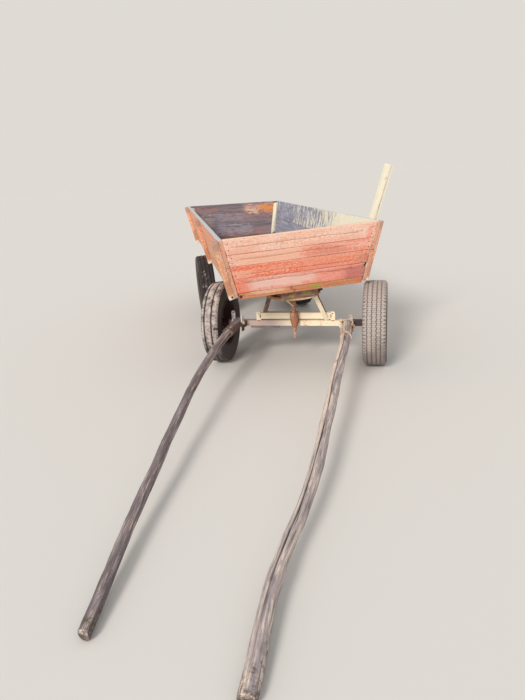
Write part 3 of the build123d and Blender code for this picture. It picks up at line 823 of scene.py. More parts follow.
def patched(tree, base, patches, wander=0.9):
    """Stains on a board: each is (colour, strength, along from, to, across from, to), in shares of
    the board. Noise moves their borders, across the board by wander."""
    if not patches:
        return base
    shift = less(tree, fibres(tree, grain_vector(tree), (14, 45, 45), 5, 0.65, 0.6), 0.5)
    across_wander, along_wander = times(tree, shift, wander), times(tree, shift, 0.12)
    for tone, strength, begin, end, low, high in patches:
        along = span(tree, "along", begin, end, min(0.05, 0.25 * (end - begin)), along_wander)
        across = span(tree, "across", low, high, min(0.1, 0.3 * (high - low)), across_wander)
        base = blend(tree, times(tree, times(tree, along, across), strength), base, linear(tone))
    return base


def timber_in(tree, vector, light, dark, checks):
    """The timber group between two colours."""
    sockets = {"Vector": vector, "Light": linear(light), "Dark": linear(dark), "Checks": checks}
    return use(tree, "timber", sockets)


def painted_board(
    name, paint, streak, inner, coat, checks=0.3, patches=(), inner_patches=(), wipes=0.0,
    rim=None,
):
    """Old paint on a board's outer face and ends, and bare wood on its inner face, with stains on
    both, a worn upper edge and, on the inner face, pale wipes across the grain. The coat is (cover,
    fade, scratch)."""
    look = bpy.context.scene.cart_boards
    made, tree = blank(name)
    vector = grain_vector(tree)
    timber = timber_in(tree, vector, look.fresh, look.brown, checks)
    cover, fade, scratch = coat
    coated = use(tree, "old_paint", {
        "Vector": vector, "Wood": timber["Color"], "Paint": linear(paint), "Streak": linear(streak),
        "Deep": linear(look.brown), "Cover": cover, "Fade": fade, "Scratch": scratch,
    })
    outside = patched(tree, coated["Color"], patches)
    inside = timber_in(tree, vector, inner, dim(inner, 0.72), checks)["Color"]
    if wipes:
        wipe = fibres(tree, vector, (30, 8, 8), 5, 0.62, 0.6)
        # The wipes grow towards the front end: there the cream is partly paint and partly painted
        # sunlight.
        wipe = plus(tree, wipe, times(tree, less(tree, 0.72, mark(tree, "along")), 0.24))
        inside = blend(
            tree, times(tree, steps(tree, wipe, 0.52, 0.62), wipes), inside, linear(look.cream),
        )
    inside = patched(tree, inside, inner_patches)
    final = blend(tree, steps(tree, mark(tree, "outer"), 0.02, 0.10), inside, outside)
    if rim is not None:
        top = steps(tree, mark(tree, "across"), 0.984, 0.994)
        final = blend(tree, times(tree, top, 0.9), final, linear(rim))
    finish(
        tree, final, 0.82, plus(tree, timber["Height"], times(tree, coated["Cover"], 0.4)), 0.0008,
    )
    return made


def bare_board(name, light, dark, checks=0.5, patches=(), moss=None, wander=0.9):
    """Unpainted, weathered wood, with stains, and moss where noise is high."""
    made, tree = blank(name)
    vector = grain_vector(tree)
    timber = timber_in(tree, vector, light, dark, checks)
    final = patched(tree, timber["Color"], patches, wander)
    if moss is not None:
        grown = fibres(tree, vector, (22, 34, 34), 6, 0.7)
        final = blend(tree, times(tree, steps(tree, grown, 0.48, 0.62), 0.7), final, linear(moss))
    finish(tree, final, 0.88, timber["Height"], 0.0008)
    return made


def old_metal(name, metal, rust, dark, amount, rough, shine=0.0, tints=()):
    """Metal or metal paint under rust, on the object's own coordinates. A tint is (colour, axis,
    from, to): it sets in along that axis."""
    made, tree = blank(name)
    vector = object_vector(tree)
    base = linear(metal)
    parts = add(tree, "ShaderNodeSeparateXYZ", {0: vector}).outputs if tints else ()
    for tone, axis, begin, end in tints:
        base = blend(tree, steps(tree, parts[axis], begin, end), base, linear(tone))
    coat = use(tree, "rust", {
        "Vector": vector, "Metal": base, "Rust": linear(rust), "Dark": linear(dark),
        "Amount": amount,
    })
    roughness = plus(tree, times(tree, coat["Rusted"], 0.9 - rough), rough)
    metallic = times(tree, inverse(tree, coat["Rusted"]), shine) if shine else 0.0
    finish(tree, coat["Color"], roughness, coat["Height"], 0.0005, metallic)
    return made


def dress(nodes, material):
    """Puts a material on CAD nodes."""
    for node in nodes:
        mesh = NODES[node].data
        mesh.materials.clear()
        mesh.materials.append(material)


def wall_axes(side):
    """Along, up and out of a leaning wall of the box."""
    places = bpy.context.scene.cart_places
    lean, rake = places.side_lean, places.end_lean
    return {
        "right": (
            (0, 1, 0), (math.sin(lean), 0, math.cos(lean)), (math.cos(lean), 0, -math.sin(lean)),
        ),
        "left": (
            (0, 1, 0), (-math.sin(lean), 0, math.cos(lean)), (-math.cos(lean), 0, -math.sin(lean)),
        ),
        "front": (
            (1, 0, 0), (0, -math.sin(rake), math.cos(rake)), (0, -math.cos(rake), -math.sin(rake)),
        ),
        "tail": (
            (1, 0, 0), (0, math.sin(rake), math.cos(rake)), (0, math.cos(rake), -math.sin(rake)),
        ),
    }[side]


def between(low, high, axis=0):
    """Picks the points whose local coordinate on an axis lies between two values."""
    return lambda local: (local[:, axis] > low) & (local[:, axis] < high)


LENGTHWISE, WIDTHWISE = ((0, 1, 0), (1, 0, 0), (0, 0, 1)), np.eye(3)
UPRIGHT = ((0, 0, 1), (1, 0, 0), (0, 1, 0))
FAR = 9.0


def halves():
    """What picks the left and the right piece of a node that holds one on either side of the
    kingpin."""
    middle = bpy.context.scene.cart_places.kingpin_x
    return between(-FAR, middle, 1), between(middle, FAR, 1)


class CART_OT_front(bpy.types.Operator):
    """The front wall: a sill and four boards"""
    bl_idname = "cart.front"
    bl_label = "Front boards"

    def execute(self, context):
        look = context.scene.cart_boards
        axes = wall_axes("front")
        pale = mix(look.salmon, 0.6, WHITE, 0.4)
        rosy = mix(look.pink, 0.5, WHITE, 0.46)
        dusk = dim(look.brick, 0.74)
        plum = (0.66, 0.36, 0.36)
        table = (
            ("front_board_4", look.salmon, pale, (0.9, 0.75, 0.3), 0.45, (
                (look.brick, 0.5, -0.1, 0.2, -0.2, 0.5), (look.brick, 0.4, 0.5, 0.9, -0.3, 0.3),
                (look.red, 0.45, 0.94, 0.98, -0.2, 0.7),
            )),
            ("front_board_3", look.brick, pale, (0.84, 0.8, 0.5), 0.55, (
                (look.salmon, 0.8, 0.05, 0.5, -0.3, 1.3), (dusk, 0.35, 0.56, 0.8, -0.2, 0.7),
                (look.red, 0.35, 0.5, 1.0, 0.0, 1.3),
            )),
            ("front_board_2", look.red, look.salmon, (0.94, 0.55, 0.35), 0.3, (
                (look.salmon, 0.45, 0.0, 0.14, 0.0, 0.6), (look.brick, 0.45, 0.5, 0.84, -0.2, 1.2),
                (dusk, 0.4, 0.9, 1.1, -0.2, 0.8),
            )),
            ("front_board_1", look.pink, rosy, (0.86, 0.85, 0.5), 0.7, (
                (look.red, 0.35, 0.5, 0.95, -0.2, 1.2), (plum, 0.6, 0.84, 1.2, -0.3, 0.9),
                (rosy, 0.8, 0.12, 0.6, 0.2, 0.8), (look.red, 0.5, -0.1, 0.1, -0.2, 1.2),
            )),
        )
        heads = []
        for seed, (node, paint, streak, coat, crack_at, patches) in enumerate(table, 11):
            rim = look.fresh if node == "front_board_4" else None
            split = 0.02 if node == "front_board_1" else 0.0
            material = painted_board(
                node + "_paint", paint, streak, look.bare, coat, patches=patches, rim=rim,
            )
            corners = box_corners(node, axes)
            heads += nails(
                corners, ((0.022, 0.3), (0.026, 0.74), (0.975, 0.26), (0.97, 0.7)), axes[2],
            )
            worn(
                node,
                [plank(corners, seed, (crack_at, 0.05, 0.9, 0.003, 0.001), 0.012, split=split)],
                material,
            )
        skin("front_nails", heads, FINISHES["brown_iron"], "cart_body")
        stains = (
            (look.moss, 0.9, 0.575, 0.64, 0.3, 1.3), (look.fresh, 0.5, 0.1, 0.38, 0.5, 1.3),
            (look.brown, 0.9, 0.425, 0.437, -1.0, 2.0), (look.brown, 0.7, -0.1, 0.012, -1.0, 0.7),
            (look.red, 0.7, 0.962, 1.2, -1.0, 2.0),
        )
        material = painted_board(
            "sill_stain", look.sill, look.orange, look.bare, (0.8, 0.5, 0.45), 0.7, patches=stains,
        )
        shell = plank(
            box_corners("front_sill", axes), 17, (0.35, 0.0, 1.0, 0.005, 0.0015), 0.012, chip=0.008,
        )
        worn("front_sill", [shell], material)
        return {"FINISHED"}


class CART_OT_sides(bpy.types.Operator):
    """The side boards with their battens"""
    bl_idname = "cart.sides"
    bl_label = "Side boards"

    def execute(self, context):
        look = context.scene.cart_boards
        places = context.scene.cart_places
        middle = places.kingpin_y + (places.rear - places.overhang) / 2
        ends = ((-FAR, -0.1), (middle - 0.1, middle + 0.1), (2, FAR))
        scuffed = ((look.brick, 0.6, -0.2, 1.2, 0.3, 0.8),)
        # Cream washes at the front of the inner faces: cream paint, with painted sunlight on the
        # front of the boards.
        washed = {
            "lower": (look.cream, 0.55, -0.1, 0.1, 0.2, 2.0),
            "upper": (look.cream, 0.9, -0.1, 0.3, -1.0, 2.0),
        }
        batten_stains = (
            (look.bare, 0.6, 0.84, 1.2, -1.0, 2.0),
            (dim(look.orange, 0.8), 0.6, -0.2, 0.35, -1.0, 2.0),
            (look.cream, 0.85, -0.2, 0.07, -1.0, 2.0), (look.brown, 0.6, -0.2, 1.2, 0.48, 0.52),
        )
        for seed, side in ((21, "left"), (25, "right")):
            axes = wall_axes(side)
            for k, level in enumerate(("lower", "upper")):
                node = f"{side}_side_{level}"
                upper = level == "upper"
                material = painted_board(
                    node + "_stain", dim(look.orange, 0.93), look.fresh, look.grey,
                    (0.86, 0.3, 0.6), 0.35,
                    patches=scuffed if upper else (), inner_patches=(washed[level],),
                    wipes=0.85 if upper else 0.15, rim=(0.74, 0.77, 0.80) if upper else None,
                )
                crack = (0.4, 0.05, 0.7, 0.005, 0.0015)
                worn(
                    node,
                    [plank(box_corners(node, axes), seed + k, crack, 0.02, offset=(0, k * 0.3))],
                    material,
                )
            node = f"{side}_battens"
            material = painted_board(
                node + "_stain", look.orange, look.fresh, look.grey, (0.9, 0.4, 0.3),
                patches=batten_stains,
            )
            shells, heads = [], []
            for k, (low, high) in enumerate(ends):
                corners = box_corners(node, axes, between(low, high)).transpose(1, 0, 2, 3)
                heads += nails(
                    corners, ((0.12, 0.4), (0.38, 0.6), (0.62, 0.4), (0.9, 0.6)), axes[2],
                )
                shells.append(plank(corners, seed + 7 + k, step=0.012, columns=8))
            worn(node, shells, material)
            skin(f"{side}_nails", heads, FINISHES["brown_iron"], "cart_body")
        return {"FINISHED"}


class CART_OT_tail(bpy.types.Operator):
    """The tail wall and the inner corner posts"""
    bl_idname = "cart.tail"
    bl_label = "Tail boards and posts"

    def execute(self, context):
        look = context.scene.cart_boards
        axes = wall_axes("tail")
        faded = mix(look.mauve, 0.72, look.red, 0.28)
        # The salmon and orange patches at the top right of the tail's inner face are a fresh-wood
        # scar, with a patch of painted sunlight on it.
        ochre = (0.90, 0.56, 0.26)
        stains = (
            (faded, 0.55, 0.05, 0.9, 0.04, 0.16), (faded, 0.45, 0.3, 1.1, 0.5, 0.66),
            (look.fresh, 0.35, 0.0, 0.2, 0.34, 0.6), (faded, 0.6, 0.0, 0.3, 0.7, 0.9),
            (look.grey, 0.4, 0.2, 0.7, 0.1, 0.3), (look.grey, 0.3, 0.05, 0.6, 0.45, 0.6),
            (look.salmon, 0.85, 0.62, 0.97, 0.66, 0.92), (ochre, 0.95, 0.78, 0.98, 0.66, 0.90),
            (look.brown, 0.8, 0.66, 0.77, 0.77, 0.82), (look.cream, 0.5, 0.63, 0.78, 0.69, 0.74),
        )
        material = painted_board(
            "tail_paint", look.mauve, faded, look.mauve, (0.5, 0.5, 0.4), inner_patches=stains,
        )
        base = (node_points("tail_boards") @ np.asarray(axes).T)[:, 1].min()
        levels = ((-0.001, 0.129), (0.1295, 0.259), (0.2595, 0.5))
        shells = []
        for k, (low, high) in enumerate(levels):
            corners = box_corners("tail_boards", axes, between(base + low, base + high, 1))
            shell = plank(corners, 41 + k, (0.6, 0.2, 0.7, 0.004, 0.0012), 0.014)
            shell["marks"]["across"] = (k + shell["marks"]["across"]) / len(levels)
            shells.append(shell)
        worn("tail_boards", shells, material)
        worn(
            "tail_sill", [plank(box_corners("tail_sill", axes), 47)],
            bare_board("tail_sill_wood", look.bare, look.brown),
        )
        # Painted shade: a brown shadow line down each post.
        streak = ((look.brown, 0.45, -0.2, 1.2, 0.74, 0.92),)
        peeled = bare_board(
            "peeled_wood", look.cream, dim(look.cream, 0.86), 0.25, streak, wander=0.3,
        )
        for seed, node in ((51, "front_posts"), (55, "rear_posts")):
            worn(node, [
                plank(box_corners(node, UPRIGHT, half), seed + k, step=0.012, columns=7)
                for k, half in enumerate(halves())
            ], peeled)
        return {"FINISHED"}


class CART_OT_floor(bpy.types.Operator):
    """The floor planks and the timbers under them"""
    bl_idname = "cart.floor"
    bl_label = "Floor and timbers"

    def execute(self, context):
        look = context.scene.cart_boards
        low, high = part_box("floor_planks")
        gap, count, spare = 0.002, 14, 0.001
        pitch = (high.y - low.y + gap) / count
        shells = []
        for k in range(count):
            start = low.y + k * pitch
            corners = box_corners(
                "floor_planks", WIDTHWISE, between(start - spare, start + pitch - spare, 1),
            )
            shells.append(plank(corners, 61 + k, step=0.03, columns=10))
        worn("floor_planks", shells, bare_board("floor_wood", look.bare, look.brown, 0.6))
        timber = bare_board(
            "beam_wood", dim(look.bare, 0.8), dim(look.brown, 0.6), 0.7, moss=dim(look.moss, 0.62),
        )
        worn("beams", [
            plank(
                block_corners("beams", LENGTHWISE, half), 81 + k, (0.5, 0.1, 0.6, 0.005, 0.0015),
                0.025, 10,
            )
            for k, half in enumerate(halves())
        ], timber)
        green = bare_board("bolster_wood", dim(look.bare, 0.9), look.brown, 0.6, moss=look.moss)
        for seed, node, material in ((85, "rear_bolster", timber), (87, "front_bolster", green)):
            worn(node, [plank(block_corners(node, WIDTHWISE), seed, columns=12)], material)
        return {"FINISHED"}


class CART_OT_stake(bpy.types.Operator):
    """The stake that leans outwards in its staples"""
    bl_idname = "cart.stake"
    bl_label = "Stake"

    def execute(self, context):
        look = context.scene.cart_boards
        points = node_points("stake")
        _, _, turned = np.linalg.svd(points - points.mean(0))
        along = turned[0] * np.sign(turned[0][2])
        ahead = unit(np.cross(along, (1, 0, 0)))
        corners = block_corners(
            "stake", (along, np.cross(ahead, along), -ahead if ahead[1] > 0 else ahead),
        )
        outer = int(corners[:, 1, :, 0].mean() > corners[:, 0, :, 0].mean())
        outward = corners[:, outer] - corners[:, 1 - outer]
        wide = np.linalg.norm(outward, axis=-1, keepdims=True)
        corners[:, outer] += look.stake_swell * outward / wide
        deep = corners[:, :, 1] - corners[:, :, 0]
        deep *= look.stake_swell / np.linalg.norm(deep, axis=-1, keepdims=True)
        corners[:, :, 1] += deep
        corners[:, :, 0] -= deep
        marks = (
            (look.brown, 0.5, 0.86, 0.88, 0.3, 0.5), (look.brown, 0.85, -0.2, 1.2, 0.66, 0.72),
            (look.brown, 0.6, -0.2, 1.2, 0.8, 0.84),
        )
        pale = bare_board("stake_wood", look.cream, dim(look.cream, 0.94), 0.2, marks, wander=0.12)
        worn("stake", [plank(corners, 91, (0.62, -0.1, 1.1, 0.007, 0.003), 0.01, 14)], pale)
        return {"FINISHED"}


class CART_OT_poles(bpy.types.Operator):
    """The two natural poles that are the shafts"""
    bl_idname = "cart.poles"
    bl_label = "Shaft poles"

    SIDES, GIRTH = 60, 0.03
    LIP, BRIM, CLEAR = 0.06, 0.12, 0.22
    WANDER, LUMPS, GRAIN = 0.006, 0.085, 0.035
    CRACK_COLUMNS = (
        (0, 0.011, 1.0), (1, 0.008, 1.0), (-1, 0.008, 1.0), (2, -0.001, 0.15), (-2, -0.001, 0.15),
    )
    CHEEK_END, CHEEK_FADE, CHEEK_GAP, LOWEST = 0.195, 0.03, 0.005, 0.0015
    WANDER_CELL, LUMP_CELL, GRAIN_CELL, GROOVE_CELL, GROOVE_FADE = 0.4, 0.05, 0.011, 0.08, 0.05
    END_SHARES, FADE_FROM, FADE_OVER, FADE_MOST = (0.93, 0.5, 0.0), 0.22, 0.45, 0.85
    CRACK_TONE, SOIL = (0.012, 0.009, 0.008, 1), (0.10, 0.075, 0.06, 1)

    def pole(self, plan, hinge, radii, seed, crack, knots, swell, lit_from=None):
        """A pole: a ring carried along a cubic curve through the plan (reach, x), falling evenly
        from the hinge to the ground, its radius times 1 + noise. Knots (reach, angle, size) and
        swells (reach, length, height) add bumps exp(-distance^2), and a groove follows a wandering
        line for the crack (angle, turn, from, to). The butt is cut flat where x stays within the
        cheeks. The lit mark is on one side of the crack, or on the side that faces left."""
        look = bpy.context.scene.cart_poles
        hinge_x, hinge_z, swing = hinge
        reach, x = np.array(plan).T
        z = hinge_z + reach / reach[-1] * (radii[1] - hinge_z)
        long = reach[-1] - reach[0]
        radius = radii[0] + (reach - reach[0]) / long * (radii[1] - radii[0])
        s = np.linspace(0, 1, int(long / look.ring_step))
        at = reach[0] + long * s
        cx, cz, cr = spline(reach, x, at), spline(reach, z, at), spline(reach, radius, at)
        wander = cloud(on_line(at), self.WANDER_CELL, seed, 2)
        cx = cx + self.WANDER * wander * np.clip((at - 0.3) * 3, 0, 1)
        wander = noise(on_line(at), self.WANDER_CELL, seed + 8)
        line = crack[0] + crack[1] * (s - 0.5) + 0.16 * wander
        full = 2 * math.pi
        rest = np.linspace(self.CLEAR, full - self.CLEAR, self.SIDES - 5)
        offsets = np.concatenate([
            [0.0, self.LIP, self.BRIM], rest, [full - self.BRIM, full - self.LIP],
        ])
        q = line[:, None] + offsets[None]
        around = np.cos(q) * self.GIRTH, np.sin(q) * self.GIRTH
        lumps = cloud(column(at[:, None] / 5, *around), self.LUMP_CELL, seed + 1)
        grain = noise(column(at[:, None] / 3, *around), self.GRAIN_CELL, seed + 2)
        size = cr[:, None] * (1 + self.LUMPS * lumps + self.GRAIN * grain)
        knot_mark = np.zeros_like(size)
        for where, turn, width in knots:
            beside = np.angle(np.exp(1j * (q - turn))) * self.GIRTH
            near = (at[:, None] - where) ** 2 / (1.6 * width) ** 2 + beside ** 2 / width**2
            size = size + look.knot_height * np.exp(-near)
            size = size - 0.6 * look.knot_height * np.exp(-near * 9)
            knot_mark = np.maximum(knot_mark, np.exp(-near * 2.5))
        for where, width, height in swell:
            size = size + height * np.exp(-((at[:, None] - where) / width) ** 2)
        window = np.clip(np.minimum(s - crack[2], crack[3] - s) / self.GROOVE_FADE, 0, 1)
        groove = window * (0.75 + 0.25 * noise(on_line(at), self.GROOVE_CELL, seed + 4))
        split_mark = np.zeros_like(size)
        for k, depth, dark in self.CRACK_COLUMNS:
            size[:, k] -= depth * groove
            split_mark[:, k] = dark * groove
        px = cx[:, None] + np.cos(q) * size
        pz = np.maximum(cz[:, None] + np.sin(q) * size, self.LOWEST)
        butt = np.clip((self.CHEEK_END - at) / self.CHEEK_FADE, 0, 1)[:, None]
        cheek = radii[0] - self.CHEEK_GAP
        px = px + butt * (np.clip(px, -cheek, cheek) - px)
        grid = column(px, np.repeat(-at[:, None], self.SIDES, 1), pz)
        ends = []
        for k, way in ((0, 1), (-1, -1)):
            middle = grid[k].mean(0)
            out = (0, self.LOWEST * way, 0)
            ends.append([
                middle + (grid[k] - middle) * share_in + out for share_in in self.END_SHARES
            ])
        closing = len(ends[0])
        grid = np.concatenate([np.array(ends[0][::-1]), grid, np.array(ends[1])])
        along = np.concatenate([[at[0]] * closing, at, [at[-1]] * closing])
        turned = np.concatenate([offsets, [full]]) * self.GIRTH
        # Painted light and shade: the lit side of a pole is painted pale and the rest grey, and
        # this fades out down the pole.
        if lit_from is None:
            lit = 0.5 + 0.5 * np.tanh(5 * np.sin(q - line[:, None]))
        else:
            lit = np.clip((-np.cos(q) - lit_from) * 4, 0, 1)
        fading = np.clip((s - self.FADE_FROM) / self.FADE_OVER, 0, 1)[:, None]
        lit = lit * (1 - self.FADE_MOST * fading)
        pad = ((closing, closing), (0, 0))
        return {
            "points": placed(grid, hinge_frame(hinge_x, swing)),
            "uv": column(
                along[:, None] + seed, turned[None, :] + np.zeros(len(along))[:, None] + seed * 0.7,
            ),
            "marks": {
                "split": np.pad(split_mark, pad), "knot": np.pad(knot_mark, pad),
                "lit": np.pad(lit, pad),
                "end": np.pad(np.zeros_like(size), pad, constant_values=1.0),
            },
        }

    def wood(self, name, light, shade, dark, bark, barked):
        """Peeled wood, with painted light on its lit side and painted shade on the other, streaks
        of grey, strips of bark, splits painted near black as painted shade, and darker knots."""
        made, tree = blank(name)
        vector = grain_vector(tree)
        pale = timber_in(tree, vector, light, mix(light, 0.5, shade, 0.5), 0.5)
        grey = timber_in(tree, vector, shade, dark, 0.6)
        # Painted light on the lit side, painted shade on the other side.
        tone = blend(tree, mark(tree, "lit"), grey["Color"], pale["Color"])
        streak = fibres(tree, vector, (3, 60, 60), 6, 0.65, 0.7)
        strips = steps(tree, streak, 0.62 - 0.3 * barked, 0.72 - 0.3 * barked)
        grain = fibres(tree, vector, (7, 95, 95), 5, 0.72, 0.6)
        high, low = steps(tree, grain, 0.53, 0.62), inverse(tree, steps(tree, grain, 0.38, 0.49))
        tone = blend(tree, times(tree, high, 0.6), tone, linear(dim(dark, 0.55)))
        tone = blend(tree, times(tree, low, 0.6), tone, linear(light))
        rough = fibres(tree, vector, (60, 220, 220), 5, 0.7)
        deep = blend(tree, 0.4, linear(bark), linear(dark))
        tone = blend(
            tree, strips, tone, blend(tree, steps(tree, rough, 0.3, 0.7), linear(bark), deep),
        )
        tone = blend(tree, times(tree, mark(tree, "knot"), 0.7), tone, linear(bark))
        # Painted shade: the split is painted near black.
        tone = blend(tree, mark(tree, "split"), tone, self.CRACK_TONE)
        rings = blend(tree, steps(tree, streak, 0.4, 0.6), linear(shade), linear(light))
        soiled = use(tree, "dirt", {
            "Vector": object_vector(tree), "Color": blend(tree, mark(tree, "end"), tone, rings),
            "Dirt": self.SOIL, "Amount": 0.3, "Level": 0.12,
        })
        height = plus(tree, grey["Height"], times(tree, times(tree, strips, rough), 1.2))
        finish(tree, soiled["Color"], 0.85, height, 0.0012)
        return made

    def execute(self, context):
        look = context.scene.cart_poles
        left_plan = (
            (-0.035, 0), (0.176, 0.004), (0.58, 0.056), (1.04, 0.159), (1.67, 0.337),
            (2.373, 0.558),
        )
        right_plan = (
            (-0.035, 0), (0.176, 0.002), (0.763, -0.027), (1.37, -0.053), (1.86, -0.099),
            (2.23, -0.149), (2.537, -0.152),
        )
        brown = self.wood(
            "left_pole_wood", dim(look.light, 0.92), look.dark, look.bark, look.bark, 0.45,
        )
        pale = self.wood("right_pole_wood", look.light, look.shade, look.dark, look.bark, 0.08)
        shell = self.pole(
            left_plan, (-0.42, 0.322, math.radians(-9.4)), (0.029, 0.025), 101,
            (2.3, 0.3, 0.82, 1.2),
            ((0.47, 2.2, 0.012), (1.17, 0.9, 0.014), (1.72, 2.0, 0.011)), (), lit_from=0.55,
        )
        skin("left_pole", [shell], brown, "left_shaft", ["left_shaft"])
        shell = self.pole(
            right_plan, (0.381, 0.3, math.radians(2)), (0.032, 0.029), 105,
            (1.74, -0.12, 0.02, 0.93),
            ((0.59, 2.2, 0.015), (0.97, 1.2, 0.012), (2.17, 1.5, 0.014), (2.41, 1.1, 0.012)),
            ((2.14, 0.05, 0.003), (0.59, 0.05, 0.002)),
        )
        skin("right_pole", [shell], pale, "right_shaft", ["right_shaft"])
        return {"FINISHED"}


class CART_OT_tyres(bpy.types.Operator):
    """Four worn tyres, each with its own tread"""
    bl_idname = "cart.tyres"
    bl_label = "Tyres"

    TREADS = {
        "zigzag": ((-0.62, -0.22, 0.18, 0.55), 0.0035, 0.0034, 0.22),
        "ribs": ((-0.29, 0.55), 0.0, 0.0055, 0.12),
        "plain": ((-0.5, 0.0, 0.5), 0.002, 0.0045, 0.22),
    }
    WAVE_PITCH, LUG_PITCH, LUG_FROM, LUG_EDGE = 0.030, 0.026, 0.74, 0.04
    BEAD_RADIUS, BEAD_REACH, INNER_RADIUS, RIBS_FROM = 0.1773, 0.0547, 0.1660, 0.2
    SHOULDER_DROP, SHOULDER_IN, SHOULDER_FALL = 0.018, 0.009, 0.015
    CROWN_IN, CROWN_FALL = 0.022, 0.003
    RIB, RIB_PITCH, BULGE, LUMPS, SPARE = 0.0012, 0.0085, 0.0035, 0.0006, 0.003
    WEAR_CELL, LUMP_CELL = 0.12, 0.03

    def tread(self, kind, along, across, half):
        """Depth of the tread at a run round the tyre and a place across it: grooves are where the
        distance from a straight or zigzag line is under half their width, lugs are where the run's
        phase is in their gap. A kind is (lines, swing, width, cut)."""
        lines, swing, width, cut = self.TREADS[kind]
        wave = np.abs((along / self.WAVE_PITCH) % 1 - 0.5) * 4 - 1
        depth = np.zeros(np.broadcast(along, across).shape)
        for k, line in enumerate(lines):
            away = np.abs(across - line * half - swing * wave * (-1) ** k)
            depth = np.maximum(depth, np.clip(1.4 - away / width, 0, 1))
        lug = (along / self.LUG_PITCH + 0.5 * np.sign(across)) % 1
        outer = np.clip((np.abs(across / half) - self.LUG_FROM) / self.LUG_EDGE, 0, 1)
        return np.maximum(depth, outer * np.clip((cut - np.abs(lug - 0.5)) * 12, 0, 1) * 0.7)

    def profile(self, width):
        """Half a section and its mirror image, as radii and places across: from the bead over the
        sidewall and the shoulder to the crown and back inside. Also, 1 where it is tread."""
        half, out = width / 2, bpy.context.scene.cart_tyres.radius
        side = np.linspace(0, 1, 14)[1:]
        shoulder = half - self.SHOULDER_IN
        wall_r = self.BEAD_RADIUS + (out - self.SHOULDER_DROP - self.BEAD_RADIUS) * side
        belly = (half - self.BEAD_REACH) * 0.34 * np.sin(side * math.pi) ** 0.9 * (1 - side * 0.5)
        wall_x = np.minimum(self.BEAD_REACH + (shoulder - self.BEAD_REACH) * side + belly, half)
        crown_x = np.linspace(shoulder, -shoulder, 62)[1:-1]
        flat = half - self.CROWN_IN
        beyond = (np.abs(crown_x) - flat) / (self.CROWN_IN - self.SHOULDER_IN)
        crown_r = out - self.CROWN_FALL * np.clip(np.abs(crown_x) / flat, 0, 1) ** 2
        crown_r = crown_r - self.SHOULDER_FALL * np.clip(beyond, 0, 1) ** 1.6
        inner_x = np.array([-self.BEAD_REACH, -0.02, 0.02, self.BEAD_REACH])
        inner_r = np.full(len(inner_x), self.INNER_RADIUS)
        radius = np.concatenate([
            [self.BEAD_RADIUS], wall_r, crown_r, wall_r[::-1], [self.BEAD_RADIUS], inner_r,
        ])
        reach = np.concatenate([
            [self.BEAD_REACH], wall_x, crown_x, -wall_x[::-1], [-self.BEAD_REACH], inner_x,
        ])
        on_tread = np.zeros(len(radius))
        on_tread[len(side) + 1:len(side) + 1 + len(crown_x)] = 1
        return radius, reach, on_tread

    def tyre(self, kind, where, x_side, y, hub_out, width, seed):
        """A tyre: its profile is carried round the axle and pushed in by the tread's depth times
        its wear. The sidewall bulges by cos(q)^24 where it stands on the ground."""
        look = bpy.context.scene.cart_tyres
        centre = placed((x_side * hub_out, y, bpy.context.scene.cart_places.axle_height), where)
        axis, up = where[1][:, 0] * x_side, np.array([0, 0, 1.0])
        half, out = width / 2, look.radius
        radius, reach, on_tread = self.profile(width)
        q = angles(look.steps)
        along = (q * out)[:, None]
        depth = self.tread(kind, along, reach[None], half - self.SHOULDER_IN) * on_tread[None]
        place = column(along, reach[None] + 0 * along)
        push = look.groove * depth * (0.75 + 0.25 * noise(place, self.WEAR_CELL, seed))
        wavy = np.clip(np.sin((radius - self.BEAD_RADIUS) / self.RIB_PITCH * math.pi), 0, 1)
        ribs = self.RIB * wavy * (1 - on_tread) * (radius > self.RIBS_FROM)
        standing = np.maximum(0, np.cos(q - math.pi))[:, None] ** 24
        bulge = self.BULGE * standing * (np.abs(reach) / half)[None]
        lumps = self.LUMPS * noise(place, self.LUMP_CELL, seed + 1) * on_tread
        grid_r = np.broadcast_to(radius, push.shape) - push + lumps
        grid_x = reach[None] + np.sign(reach)[None] * (bulge + ribs[None])
        grid_x = np.clip(grid_x, -half - self.SPARE, half + self.SPARE)
        ring = circle(q[:, None], up, np.cross(axis, up))
        points = centre + grid_x[..., None] * axis + ring * grid_r[..., None]
        points, depth = np.concatenate([points, points[:1]]), np.concatenate([depth, depth[:1]])
        run, turned = girth(radius, reach), np.linspace(0, 2 * math.pi * out, len(points))
        return {
            "points": points,
            "uv": column(turned[:, None] + 0 * run[None], run[None] + 0 * turned[:, None] + seed),
            "marks": {"groove": depth, "tread": on_tread[None] + 0 * depth},
        }

    def rubber(self, name, dusty, cut, mud, groove, clean):
        """Old rubber: dry mud on the treads and a little on the walls, painted shade near black in
        the grooves and in fine cuts across the ribs, and painted shade towards the bottom, where
        the tread turns from dusty to darker bare rubber."""
        made, tree = blank(name)
        look = bpy.context.scene.cart_tyres
        vector, place = grain_vector(tree), object_vector(tree)
        dull, mud = dim(look.rubber, 0.8), linear(mud)

        def dirty(tone, amount):
            sockets = {"Vector": place, "Color": tone, "Dirt": mud, "Amount": amount, "Level": 0.05}
            return use(tree, "dirt", sockets)["Color"]

        fine = speckle(tree, vector, 240.0, 4, 0.7)
        rubber = blend(tree, steps(tree, fine, 0.35, 0.7), linear(dull), linear(look.rubber))
        wall = dirty(blend(tree, 0.08, linear(dull), mud), 0.22)
        rise = add(tree, "ShaderNodeSeparateXYZ", {0: place}).outputs[2]
        rise = plus(tree, rise, times(tree, less(tree, speckle(tree, place, 9.0, 3), 0.5), 0.5))
